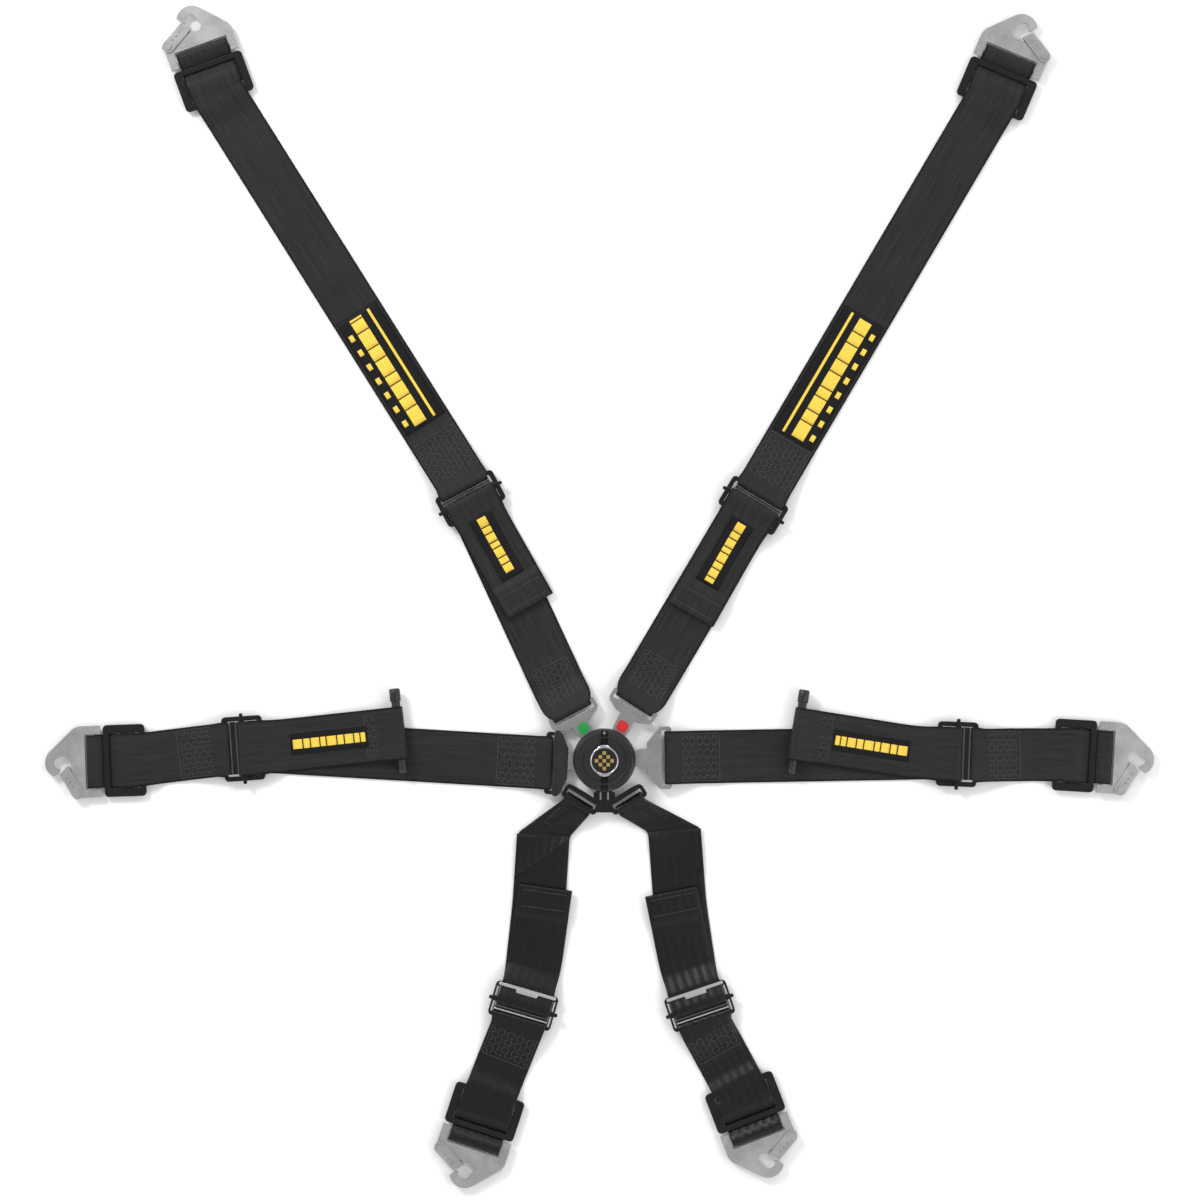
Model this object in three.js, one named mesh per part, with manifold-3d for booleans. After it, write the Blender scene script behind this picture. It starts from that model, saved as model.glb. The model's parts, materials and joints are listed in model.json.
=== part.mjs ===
// Six-point racing harness, laid out flat on its back: a rotary buckle in the middle, two shoulder
// straps, two lap straps and two crotch straps, each ending in a snap hook.
//
// Millimetres. Origin: centre of the buckle's back face. +X towards the lap strap on the right, +Y
// towards the shoulder hooks, +Z up out of the buckle's knob. Headings are degrees from +X.

import * as THREE from 'three';
import { mergeVertices } from 'three/addons/utils/BufferGeometryUtils.js';
import Module from 'manifold-3d';

const wasm = await Module();
wasm.setup();

// ---------------------------------------------------------------- driving dimensions

const GAP = 0.3; // air between pieces that rest on each other
const TURN_CLEARANCE = 0.4; // extra radius around a bar that turns inside a webbing eye

const WEBBING_WIDTH = 50.8; // two-inch webbing
const WEBBING_THICKNESS = 1.3;
const FOLDED_WIDTH = 29; // crotch webbing folded lengthwise where it enters its tongue
const SHOULDER_END_WIDTH = 40; // shoulder webbing with its corners turned in at the tongue

const BUCKLE_RADIUS = 30;
const BACK_PLATE_THICKNESS = 2.5;
const HOUSING_TOP = 13;
const KNOB_RADIUS = BUCKLE_RADIUS - 0.5; // a thin rim of the housing shows round the knob
const KNOB_TOP = 27.5;
const BADGE_RADIUS = 12.9; // medallion moulded in the middle of the knob
const STUD_RADIUS = 4.1;
const LATCH_LIFT = 2; // travel of the latch plate when the knob is turned

const TONGUE_THICKNESS = 2.6;
const TONGUE_MID_Z = 6.9;
const TONGUE_HEAD_WIDTH = 15;
const TONGUE_HEAD_INNER_RADIUS = 14.5;
const LATCH_RADIUS = 20; // where the latch windows sit, from the buckle's centre
const LATCH_WINDOW = 6;
const TONGUE_BAR_WIDTH = 5;
const LOOP_RIM = 3.5; // material beside a tongue's webbing slot
const LAP_TONGUE_HALF = WEBBING_WIDTH / 2 + 1 + LOOP_RIM;
// Rim to bar. It leans 34 degrees from the lap tongue beside it, and so moves out by 1.2 to clear it.
const SHOULDER_LEFT_REACH = 1.2 * LAP_TONGUE_HALF - 8.68;

const HOOK_THICKNESS = 3;
const HOOK_BAR_WIDTH = 6;
const HOOK_LEG_WIDTH = 7.7; // beside the webbing slot
const HOOK_LENGTH = 45.1; // from the webbing bar to the tip
const HOOK_LEG_LENGTH = 8.6; // how far the legs run back past the bar
const HOOK_TIP_RADIUS = 15.1;
const HOOK_EYE_LENGTH = 18;
const HOOK_EYE_WIDTH = 10.6;
const HOOK_EYE_TILT = 21;

const GATE_LENGTH = 25;
const GATE_WIDTH = 11;
const GATE_SHEET = 1.1;
const GATE_WEB = 1.5;
const GATE_CLEARANCE = 0.4;
const GATE_SWING = 25; // degrees
const GATE_PIN_RADIUS = 2;

const SLIDE_LENGTH = 40; // three-bar slide, along the strap
const SLIDE_RAIL = 8; // beside the webbing
const SLIDE_THICKNESS = 2.5;
const SLIDE_END_BAR = 5.5;
const SLIDE_MID_BAR = 7;
const SLIDE_TO_HOOK = 31; // slide centre to hook bar

const ADJUSTER_RAIL = 4.5; // beside the webbing
const ADJUSTER_THICKNESS = 2.5;
const ADJUSTER_BAR = 5; // the bar that the outer strap is sewn round
const ADJUSTER_LIP = 4.5;
const GRIP_BAR_WIDTH = 5; // the knurled bar that the webbing turns round
const GRIP_BAR_THICKNESS = 3;

const PULL_ROD_RADIUS = 4.3;
const PULL_ROD_ABOVE = 17.6; // stands out past the strap's edge at the capped end
const PULL_ROD_BELOW = 12.6; // and at the plain end
const PULL_ROD_CAP_RADIUS = 5.2;
const PULL_ROD_CAP_LENGTH = 12.5;

// Each arm is walked outwards from the buckle: tongue bar, adjuster, slide, hook.
const ARMS = {
  shoulder_left: {
    barRadius: BUCKLE_RADIUS + SHOULDER_LEFT_REACH, barAngle: 123.6, barHeading: 118,
    endWidth: SHOULDER_END_WIDTH,
    innerLegs: [[115.5, 224.4]], adjusterHeading: 118, adjusterLength: 32,
    outerHeading: 121.6, outerLength: 469.6, hookHeading: 110,
    tailHeading: 299.6, tailLength: 117.3, gateSide: 1,
  },
  shoulder_right: {
    barRadius: BUCKLE_RADIUS + 32.9, barAngle: 61.5, barHeading: 57.5, endWidth: SHOULDER_END_WIDTH,
    innerLegs: [[59.1, 219.6]], adjusterHeading: 58.9, adjusterLength: 32,
    outerHeading: 59.7, outerLength: 462.9, hookHeading: 67,
    tailHeading: 240.3, tailLength: 120, gateSide: -1,
  },
  lap_left: {
    barRadius: BUCKLE_RADIUS + 24.1, barAngle: 183.2, barHeading: 177.3, endWidth: WEBBING_WIDTH,
    innerLegs: [[177.3, 292.2]], adjusterHeading: 184, adjusterLength: 39,
    outerHeading: 185.8, outerLength: 114.5, hookHeading: 182,
    tailHeading: 6.3, tailLength: 150.2, gateSide: 1,
  },
  lap_right: {
    barRadius: BUCKLE_RADIUS + 32.1, barAngle: 1.8, barHeading: 0.7, endWidth: WEBBING_WIDTH,
    innerLegs: [[0.7, 276]], adjusterHeading: -2.3, adjusterLength: 39,
    outerHeading: -0.7, outerLength: 112.8, hookHeading: -3.4,
    tailHeading: 170.9, tailLength: 154.5, gateSide: -1,
  },
  crotch_left: {
    barRadius: BUCKLE_RADIUS + 18.2, barAngle: 239.4, barHeading: 238, endWidth: FOLDED_WIDTH,
    innerLegs: [[222.5, 46], [266.3, 67.3], [261.2, 97.1]], adjusterHeading: 253.7, adjusterLength: 34,
    outerHeading: 250, outerLength: 108.3, hookHeading: 252,
    tailHeading: 82.1, tailLength: 115.2, gateSide: -1,
  },
  crotch_right: {
    barRadius: BUCKLE_RADIUS + 18.2, barAngle: 300.6, barHeading: 302, endWidth: FOLDED_WIDTH,
    innerLegs: [[328.4, 50.2], [274.3, 72.2], [281, 97.8]], adjusterHeading: 288.7, adjusterLength: 34,
    outerHeading: 295.2, outerLength: 102.6, hookHeading: 291,
    tailHeading: 101.5, tailLength: 112.5, gateSide: 1,
  },
};

// ---------------------------------------------------------------- levels worked out from them

const DOUBLE = 2 * WEBBING_THICKNESS; // two layers sewn together
const UPPER_LAYER = WEBBING_THICKNESS + GAP; // underside of webbing that lies on webbing
const barReach = (width, thickness) => Math.hypot(width, thickness) / 2;

const TONGUE_EYE = barReach(TONGUE_BAR_WIDTH, TONGUE_THICKNESS) + GAP;
const HOOK_EYE = barReach(HOOK_BAR_WIDTH, HOOK_THICKNESS) + TURN_CLEARANCE;
const ADJUSTER_EYE = barReach(ADJUSTER_BAR, ADJUSTER_THICKNESS) + TURN_CLEARANCE;
const GRIP_EYE = barReach(GRIP_BAR_WIDTH, GRIP_BAR_THICKNESS) + GAP;
const ROD_EYE = PULL_ROD_RADIUS + GAP;

const HOOK_Z = HOOK_EYE + WEBBING_THICKNESS;
const ADJUSTER_Z = UPPER_LAYER + ADJUSTER_EYE + WEBBING_THICKNESS;
const GRIP_BAR_Z = ADJUSTER_Z + ADJUSTER_THICKNESS / 2 + GRIP_BAR_THICKNESS / 2;
const SLIDE_Z = DOUBLE + GAP + SLIDE_THICKNESS / 2;
const ROD_Z = 2 * UPPER_LAYER + ROD_EYE + WEBBING_THICKNESS;
const FRAME_OPENING = WEBBING_WIDTH + 2.2; // webbing width plus side play in a slide, adjuster or hook
const HOOK_WIDTH = FRAME_OPENING + 2 * HOOK_LEG_WIDTH;
const SLIDE_WIDTH = FRAME_OPENING + 2 * SLIDE_RAIL;
const ADJUSTER_WIDTH = FRAME_OPENING + 2 * ADJUSTER_RAIL;
const PULL_ROD_LENGTH = WEBBING_WIDTH + PULL_ROD_ABOVE + PULL_ROD_BELOW;

// ---------------------------------------------------------------- solids

function toSolid(geometry) {
  const bare = geometry.clone();
  bare.deleteAttribute('normal');
  bare.deleteAttribute('uv');
  const merged = mergeVertices(bare, 1e-4);
  return new wasm.Manifold(new wasm.Mesh({
    numProp: 3,
    vertProperties: new Float32Array(merged.attributes.position.array),
    triVerts: new Uint32Array(merged.index.array),
  }));
}

function toGeometry(solid) {
  const mesh = solid.getMesh();
  const geometry = new THREE.BufferGeometry();
  geometry.setAttribute('position', new THREE.BufferAttribute(mesh.vertProperties, 3));
  geometry.setIndex(new THREE.BufferAttribute(mesh.triVerts, 1));
  return geometry;
}

const join = (solids) => solids.reduce((sum, solid) => sum.add(solid));

function box(u0, u1, v0, v1, z0, z1) {
  const geometry = new THREE.BoxGeometry(u1 - u0, v1 - v0, z1 - z0);
  return geometry.translate((u0 + u1) / 2, (v0 + v1) / 2, (z0 + z1) / 2);
}

function plate(shape, midZ, thickness, curveSegments = 6) {
  const options = { depth: thickness, bevelEnabled: false, curveSegments };
  return new THREE.ExtrudeGeometry(shape, options).translate(0, 0, midZ - thickness / 2);
}

// A cylinder lying across the strap, its axis along v.
function crossCylinder(u, z, radius, width, sides = 16) {
  return new THREE.CylinderGeometry(radius, radius, width, sides).translate(u, 0, z);
}

function lathe(profile, segments = 48) {
  const points = profile.map(([r, z]) => new THREE.Vector2(r, z));
  return new THREE.LatheGeometry(points, segments).rotateX(Math.PI / 2);
}

const radians = (degrees) => THREE.MathUtils.degToRad(degrees);
const step = ([x, y], heading, distance) => [
  x + distance * Math.cos(radians(heading)),
  y + distance * Math.sin(radians(heading)),
];

function placed(geometry, [x, y], heading) {
  return geometry.clone().rotateZ(radians(heading)).translate(x, y, 0);
}

function polygon(points) {
  return new THREE.Shape(points.map(([x, y]) => new THREE.Vector2(x, y)));
}

function roundedRectangle(u0, u1, v0, v1, radius) {
  const shape = new THREE.Shape();
  shape.moveTo(u0 + radius, v0);
  shape.lineTo(u1 - radius, v0);
  shape.absarc(u1 - radius, v0 + radius, radius, -Math.PI / 2, 0);
  shape.lineTo(u1, v1 - radius);
  shape.absarc(u1 - radius, v1 - radius, radius, 0, Math.PI / 2);
  shape.lineTo(u0 + radius, v1);
  shape.absarc(u0 + radius, v1 - radius, radius, Math.PI / 2, Math.PI);
  shape.lineTo(u0, v0 + radius);
  shape.absarc(u0 + radius, v0 + radius, radius, Math.PI, 1.5 * Math.PI);
  return shape;
}

// A band of webbing seen from its side: a line of [u, z] points with a thickness, extruded to width.
function band(line, thickness, width) {
  const points = line.map(([u, z]) => new THREE.Vector2(u, z));
  const side = (sign) => points.map((point, i) => {
    const before = points[Math.max(i - 1, 0)];
    const after = points[Math.min(i + 1, points.length - 1)];
    const into = point.clone().sub(i ? before : point);
    const outOf = after.clone().sub(point);
    const first = (into.lengthSq() ? into : outOf).clone().normalize();
    const second = (outOf.lengthSq() ? outOf : into).clone().normalize();
    const bisector = first.clone().add(second).normalize();
    const reach = (sign * thickness) / 2 / bisector.dot(first);
    return point.clone().add(new THREE.Vector2(-bisector.y, bisector.x).multiplyScalar(reach));
  });
  const outline = new THREE.Shape([...side(-1), ...side(1).reverse()]);
  const geometry = new THREE.ExtrudeGeometry(outline, { depth: width, bevelEnabled: false });
  return geometry.rotateX(Math.PI / 2).translate(0, width / 2, 0);
}

// ---------------------------------------------------------------- materials and nodes

const material = (color, roughness, metalness) =>
  new THREE.MeshStandardMaterial({ color, roughness, metalness });

const FINISH = {
  webbing: [0x2b2b2d, 0.8, 0],
  crotchWebbing: [0x141415, 0.6, 0],
  zinc: [0xc9cacc, 0.35, 0.9],
  steel: [0x8d8f92, 0.35, 0.95],
  blackMetal: [0x161617, 0.4, 0.6],
  blackPlastic: [0x1c1c1d, 0.5, 0],
};

const harness = new THREE.Group();

function add(name, geometry, finish, at = [0, 0], heading = 0, z = 0) {
  const mesh = new THREE.Mesh(geometry, material(...FINISH[finish]));
  mesh.name = name;
  mesh.position.set(at[0], at[1], z);
  mesh.rotation.z = radians(heading);
  harness.add(mesh);
}

// ---------------------------------------------------------------- buckle

const CHANNEL_MARGIN = 0.4; // play of a tongue in its channel, on every side
const CHANNEL_TOP = TONGUE_MID_Z + TONGUE_THICKNESS / 2 + CHANNEL_MARGIN;
const HOUSING_FLOOR = BACK_PLATE_THICKNESS + GAP;
const RECESS_FLOOR = 11; // the latch plate lies on this ledge
const RECESS_RADIUS = BUCKLE_RADIUS - 4;
const LATCH_PLATE_Z = RECESS_FLOOR + GAP;
const LATCH_PLATE_THICKNESS = 1.8;
const KNOB_BOTTOM = HOUSING_TOP + GAP;
const KNOB_CAVITY_TOP = 20.4;
const KNOB_CAVITY_RADIUS = KNOB_RADIUS - 4.5;
const STUD_TOP = 24.2;
const NOTCH_WIDTH = 7;
const NOTCH_DEPTH = 3;
const LATCHED_ARMS = ['shoulder_left', 'shoulder_right', 'lap_right'];
const CROTCH_ANGLE = 270;
const latchAngles = [...LATCHED_ARMS.map((arm) => ARMS[arm].barAngle), CROTCH_ANGLE];
const channelAngles = [...latchAngles, ARMS.lap_left.barAngle];

function backPlate() {
  return lathe([
    [0, 0], [BUCKLE_RADIUS, 0], [BUCKLE_RADIUS, BACK_PLATE_THICKNESS],
    [STUD_RADIUS, BACK_PLATE_THICKNESS], [STUD_RADIUS, STUD_TOP], [0, STUD_TOP],
  ]);
}

function housing() {
  const bore = STUD_RADIUS + GAP;
  const body = toSolid(lathe([
    [bore, HOUSING_FLOOR], [BUCKLE_RADIUS, HOUSING_FLOOR], [BUCKLE_RADIUS, HOUSING_TOP],
    [RECESS_RADIUS, HOUSING_TOP], [RECESS_RADIUS, RECESS_FLOOR], [bore, RECESS_FLOOR],
    [bore, HOUSING_FLOOR],
  ]));
  const half = TONGUE_HEAD_WIDTH / 2 + CHANNEL_MARGIN;
  const low = TONGUE_MID_Z - TONGUE_THICKNESS / 2 - CHANNEL_MARGIN;
  const inner = TONGUE_HEAD_INNER_RADIUS - CHANNEL_MARGIN;
  const channel = box(inner, BUCKLE_RADIUS + 2, -half, half, low, CHANNEL_TOP);
  const reach = LATCH_WINDOW / 2;
  const near = LATCH_RADIUS - reach;
  const far = LATCH_RADIUS + reach;
  const window = box(near, far, -reach, reach, CHANNEL_TOP - 1, RECESS_FLOOR + 1);
  const cuts = [
    ...channelAngles.map((angle) => toSolid(placed(channel, [0, 0], angle))),
    ...latchAngles.map((angle) => toSolid(placed(window, [0, 0], angle))),
  ];
  return toGeometry(body.subtract(join(cuts)));
}

// A ring round the stud with one arm and one prong for each tongue that can be released.
function latchPlate() {
  const low = LATCH_PLATE_Z;
  const high = LATCH_PLATE_Z + LATCH_PLATE_THICKNESS;
  const ring = toSolid(lathe([[STUD_RADIUS + 1, low], [10, low], [10, high], [STUD_RADIUS + 1, high],
    [STUD_RADIUS + 1, low]], 24));
  const prong = LATCH_WINDOW / 2 - 0.6;
  const prongTip = TONGUE_MID_Z + TONGUE_THICKNESS / 2 + GAP;
  const arm = box(8, LATCH_RADIUS + prong, -3.5, 3.5, low, high);
  const pin = box(LATCH_RADIUS - prong, LATCH_RADIUS + prong, -prong, prong, prongTip, low + 1);
  const limbs = latchAngles.flatMap((angle) => [placed(arm, [0, 0], angle), placed(pin, [0, 0], angle)]);
  return toGeometry(join([ring, ...limbs.map(toSolid)]));
}

function knob() {
  const groove = KNOB_RADIUS - 9.5;
  const bezel = BADGE_RADIUS - 2.2;
  const body = toSolid(lathe([
    [KNOB_CAVITY_RADIUS, KNOB_BOTTOM], [KNOB_RADIUS, KNOB_BOTTOM], [KNOB_RADIUS, KNOB_TOP - 3.5],
    [KNOB_RADIUS - 1.5, KNOB_TOP - 1], [KNOB_RADIUS - 4.5, KNOB_TOP], [groove + 2, KNOB_TOP],
    [groove + 1.5, KNOB_TOP - 0.6], [groove + 0.5, KNOB_TOP - 0.6], [groove, KNOB_TOP],
    [BADGE_RADIUS + 0.6, KNOB_TOP], [BADGE_RADIUS + 0.4, KNOB_TOP - 0.6], [BADGE_RADIUS, KNOB_TOP - 0.6],
    [BADGE_RADIUS, KNOB_TOP + 0.3], [BADGE_RADIUS - 0.8, KNOB_TOP + 1], [bezel, KNOB_TOP + 0.3],
    [0, KNOB_TOP + 0.3], [0, STUD_TOP + GAP], [STUD_RADIUS + GAP, STUD_TOP + GAP],
    [STUD_RADIUS + GAP, KNOB_CAVITY_TOP], [KNOB_CAVITY_RADIUS, KNOB_CAVITY_TOP],
    [KNOB_CAVITY_RADIUS, KNOB_BOTTOM],
  ]));
  const inner = BADGE_RADIUS + 2;
  const half = NOTCH_WIDTH / 2;
  const notch = box(inner, KNOB_RADIUS + 2, -half, half, KNOB_TOP - NOTCH_DEPTH, KNOB_TOP + 1);
  const notches = [90, 270].map((angle) => toSolid(placed(notch, [0, 0], angle)));
  return toGeometry(body.subtract(join(notches)));
}

// The torsion spring that brings the knob back, wound round the stud inside the knob.
function returnSpring() {
  const wire = 0.6;
  const coilRadius = 8;
  const turns = 1.75;
  const pitch = 1.6;
  const low = LATCH_PLATE_Z + LATCH_PLATE_THICKNESS + LATCH_LIFT + GAP + wire;
  const steps = 30;
  const points = [];
  for (let i = 0; i <= steps; i += 1) {
    const angle = (i / steps) * turns * 2 * Math.PI;
    points.push(new THREE.Vector3(coilRadius * Math.cos(angle), coilRadius * Math.sin(angle),
      low + (i / steps) * turns * pitch));
  }
  const section = new THREE.Shape().absarc(0, 0, wire, 0, 2 * Math.PI);
  const path = new THREE.CatmullRomCurve3(points);
  return new THREE.ExtrudeGeometry(section, { steps: steps * 2, extrudePath: path, curveSegments: 4 });
}

add('buckle_back_plate', backPlate(), 'steel');
add('buckle_housing', housing(), 'blackMetal');
add('latch_plate', latchPlate(), 'steel');
add('return_spring', returnSpring(), 'steel');
add('release_knob', knob(), 'blackPlastic');

// ---------------------------------------------------------------- tongues

const SLOT_DEPTH = 4.5; // slot from the bar's edge towards the buckle
const LOOP_TAPER = 0.5; // width where the loop meets the stem, over its full width

// The part of a tongue that the webbing goes through, with its bar centred on u = 0.
function tongueLoop(webbingWidth, depth) {
  const half = webbingWidth / 2 + 1 + LOOP_RIM;
  const bar = TONGUE_BAR_WIDTH / 2;
  const shoulder = -bar - SLOT_DEPTH - 1;
  const outline = polygon([
    [bar - 2, -half], [bar, -half + 2], [bar, half - 2], [bar - 2, half],
    [shoulder, half], [shoulder - 3, half - 2], [-depth, half * LOOP_TAPER],
    [-depth, -half * LOOP_TAPER], [shoulder - 3, -half + 2], [shoulder, -half],
  ]);
  const slot = box(-bar - SLOT_DEPTH, -bar, -half + LOOP_RIM, half - LOOP_RIM, 0, 2 * TONGUE_MID_Z);
  return toSolid(plate(outline, TONGUE_MID_Z, TONGUE_THICKNESS)).subtract(toSolid(slot));
}

// The straight part that runs into the buckle, along +u from the buckle's centre.
function tongueHead(reach, neckWidth) {
  const head = TONGUE_HEAD_WIDTH / 2;
  const neck = neckWidth / 2;
  const shoulder = BUCKLE_RADIUS + 1.5;
  const outline = polygon([
    [TONGUE_HEAD_INNER_RADIUS, -head + 2], [TONGUE_HEAD_INNER_RADIUS + 2, -head], [shoulder, -head],
    [shoulder + 2, -neck], [reach, -neck], [reach, neck], [shoulder + 2, neck],
    [shoulder, head], [TONGUE_HEAD_INNER_RADIUS + 2, head], [TONGUE_HEAD_INNER_RADIUS, head - 2],
  ]);
  return toSolid(plate(outline, TONGUE_MID_Z, TONGUE_THICKNESS));
}

function latchWindow() {
  const reach = LATCH_WINDOW / 2;
  return toSolid(box(LATCH_RADIUS - reach, LATCH_RADIUS + reach, -reach, reach, 0, 2 * TONGUE_MID_Z));
}

function tongue(arm, depth, neckWidth, latched) {
  const at = step([0, 0], arm.barAngle, arm.barRadius);
  const head = latched ? tongueHead(arm.barRadius - depth + 3, neckWidth).subtract(latchWindow())
    : tongueHead(arm.barRadius - depth + 3, neckWidth);
  const headGeometry = placed(toGeometry(head), [0, 0], arm.barAngle);
  const loopGeometry = placed(toGeometry(tongueLoop(arm.endWidth, depth)), at, arm.barHeading);
  return toGeometry(toSolid(headGeometry).add(toSolid(loopGeometry)));
}

// One tongue for both crotch straps: a stem with two slanted webbing loops.
function crotchTongue() {
  const depth = TONGUE_BAR_WIDTH / 2 + SLOT_DEPTH + 5;
  const loops = ['crotch_left', 'crotch_right'].map((name) => {
    const arm = ARMS[name];
    const at = step([0, 0], arm.barAngle, arm.barRadius);
    return toSolid(placed(toGeometry(tongueLoop(arm.endWidth, depth)), at, arm.barHeading));
  });
  const stem = tongueHead(BUCKLE_RADIUS + 15, 19).subtract(latchWindow());
  const body = toSolid(placed(toGeometry(stem), [0, 0], CROTCH_ANGLE));
  const neck = -BUCKLE_RADIUS - 1;
  const flare = -BUCKLE_RADIUS - 8;
  const end = -BUCKLE_RADIUS - 20.5;
  const foot = polygon([[-10, neck], [10, neck], [10.5, flare], [17, end], [-17, end], [-10.5, flare]]);
  const web = toSolid(plate(foot, TONGUE_MID_Z, TONGUE_THICKNESS));
  const slots = ['crotch_left', 'crotch_right'].map((name) => {
    const arm = ARMS[name];
    const at = step([0, 0], arm.barAngle, arm.barRadius);
    const half = arm.endWidth / 2 + 1;
    const bar = TONGUE_BAR_WIDTH / 2;
    const beyond = box(bar, bar + 30, -half - 1, 40, 0, 2 * TONGUE_MID_Z);
    const mirrored = box(bar, bar + 30, -40, half + 1, 0, 2 * TONGUE_MID_Z);
    const slot = box(-bar - SLOT_DEPTH, -bar, -half, half, 0, 2 * TONGUE_MID_Z);
    const outside = name === 'crotch_left' ? mirrored : beyond;
    return toSolid(placed(slot, at, arm.barHeading)).add(toSolid(placed(outside, at, arm.barHeading)));
  });
  return toGeometry(join([...loops, body, web]).subtract(join(slots)));
}

add('shoulder_left_tongue', tongue(ARMS.shoulder_left, 16, 16, true), 'steel');
add('shoulder_right_tongue', tongue(ARMS.shoulder_right, 16, 16, true), 'steel');
add('lap_right_tongue', tongue(ARMS.lap_right, 21, 19, true), 'steel');
add('lap_left_tongue', tongue(ARMS.lap_left, 19, 17, false), 'blackMetal');
add('crotch_tongue', crotchTongue(), 'blackMetal');

// ---------------------------------------------------------------- snap hook and gate

const HOOK_SLOT_FRONT = HOOK_EYE + WEBBING_THICKNESS + 1.5;
const HOOK_EYE_CENTRE = [28.3, -0.5];
const HOOK_TIP_CENTRE = HOOK_LENGTH - HOOK_TIP_RADIUS;
const GATE_PIVOT = [14.4, 29.9];
const GATE_HEADING = -61.1; // from the pivot to the mouth
const GATE_OUTER = GATE_WIDTH / 2 + 0.3; // gate pin to the gate's outer face
const GATE_EDGE = GATE_OUTER - GATE_WEB - GATE_CLEARANCE; // gate pin to the plate edge that faces the gate

const flip = (points, side) => points.map(([u, v]) => [u, side * v]);

// A point in the gate's own directions: along it from the pin, and out towards its outer face.
function gatePoint(along, out, swing = 0) {
  return step(step(GATE_PIVOT, GATE_HEADING - swing, along), GATE_HEADING - swing + 90, out);
}

function hookOutline() {
  const half = HOOK_WIDTH / 2;
  const tip = [];
  for (let angle = -47; angle <= 60; angle += 17.8) {
    tip.push(step([HOOK_TIP_CENTRE, 0], angle, HOOK_TIP_RADIUS));
  }
  const pinEdge = [GATE_SWING, GATE_SWING / 2, 0].map((swing) => gatePoint(0, GATE_EDGE, swing));
  return [
    [-HOOK_LEG_LENGTH, -half], [12, -half], [17, -half + 1.8], ...tip,
    gatePoint(GATE_LENGTH + 1, 5.5), HOOK_EYE_CENTRE, gatePoint(GATE_LENGTH + 2, GATE_EDGE, GATE_SWING),
    ...pinEdge, gatePoint(-2.8, GATE_EDGE), [-HOOK_LEG_LENGTH, half],
  ];
}

function hook(side) {
  const body = toSolid(plate(polygon(flip(hookOutline(), side)), 0, HOOK_THICKNESS));
  const opening = FRAME_OPENING / 2;
  const bar = HOOK_BAR_WIDTH / 2;
  const slot = box(bar, HOOK_SLOT_FRONT, -opening, opening, -5, 5);
  const behind = box(-40, -bar, -opening, opening, -5, 5);
  const straight = HOOK_EYE_LENGTH - HOOK_EYE_WIDTH;
  const eyeRound = HOOK_EYE_WIDTH / 2;
  const eye = new THREE.Shape();
  eye.absarc(straight / 2, 0, eyeRound, -Math.PI / 2, Math.PI / 2);
  eye.absarc(-straight / 2, 0, eyeRound, Math.PI / 2, 1.5 * Math.PI);
  const eyeCut = plate(eye, 0, 10).rotateZ(radians(side * HOOK_EYE_TILT))
    .translate(HOOK_EYE_CENTRE[0], side * HOOK_EYE_CENTRE[1], 0);
  const cuts = join([slot, behind, eyeCut].map(toSolid));
  const half = HOOK_THICKNESS / 2 + GATE_CLEARANCE + GATE_SHEET;
  const headThickness = 0.8;
  const pivot = [GATE_PIVOT[0], side * GATE_PIVOT[1]];
  const reach = half + GAP + headThickness;
  const pin = new THREE.CylinderGeometry(GATE_PIN_RADIUS, GATE_PIN_RADIUS, 2 * reach, 16);
  const head = new THREE.CylinderGeometry(GATE_PIN_RADIUS + 1.2, GATE_PIN_RADIUS + 1.2, headThickness, 16);
  const upright = (geometry, z) => toSolid(geometry.clone().rotateX(Math.PI / 2).translate(...pivot, z));
  const topHead = upright(head, half + GAP + headThickness / 2);
  const bottomHead = upright(head, -half - GAP - headThickness / 2);
  return toGeometry(join([body.subtract(cuts), upright(pin, 0), topHead, bottomHead]));
}

// A folded sheet that straddles the hook's plate: two cheeks and a web along the outer edge.
function gate(side) {
  const inner = -GATE_WIDTH / 2 + 0.3;
  const round = [];
  for (let angle = 90; angle <= 270; angle += 30) {
    round.push(gatePoint(GATE_OUTER * Math.cos(radians(angle)), GATE_OUTER * Math.sin(radians(angle))));
  }
  const outline = [
    ...round, gatePoint(GATE_LENGTH + 2.5, inner), gatePoint(GATE_LENGTH, GATE_OUTER),
  ];
  const half = HOOK_THICKNESS / 2 + GATE_CLEARANCE;
  const body = toSolid(plate(polygon(flip(outline, side)), 0, 2 * (half + GATE_SHEET)));
  const web = GATE_OUTER - GATE_WEB;
  const pocket = [
    gatePoint(-2.4, 20), gatePoint(-2.4, web), gatePoint(GATE_LENGTH + 6, web),
    gatePoint(GATE_LENGTH + 6, -20), gatePoint(-20, -20), gatePoint(-20, 20),
  ];
  const pocketCut = toSolid(plate(polygon(flip(pocket, side)), 0, 2 * half));
  const holeRadius = GATE_PIN_RADIUS + GAP;
  const hole = new THREE.CylinderGeometry(holeRadius, holeRadius, 20, 16).rotateX(Math.PI / 2)
    .translate(GATE_PIVOT[0], side * GATE_PIVOT[1], 0);
  return toGeometry(body.subtract(pocketCut).subtract(toSolid(hole)));
}

// ---------------------------------------------------------------- slides and adjusters

function threeBarSlide() {
  const half = SLIDE_LENGTH / 2;
  const opening = FRAME_OPENING / 2;
  const shape = roundedRectangle(-half, half, -SLIDE_WIDTH / 2, SLIDE_WIDTH / 2, 4);
  const inner = SLIDE_MID_BAR / 2;
  const outer = half - SLIDE_END_BAR;
  const windows = join([
    toSolid(box(-outer, -inner, -opening, opening, -5, 5)),
    toSolid(box(inner, outer, -opening, opening, -5, 5)),
  ]);
  return toGeometry(toSolid(plate(shape, 0, SLIDE_THICKNESS, 3)).subtract(windows));
}

const gripBarU = (length) => -(length - ADJUSTER_BAR) / 2;

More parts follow.
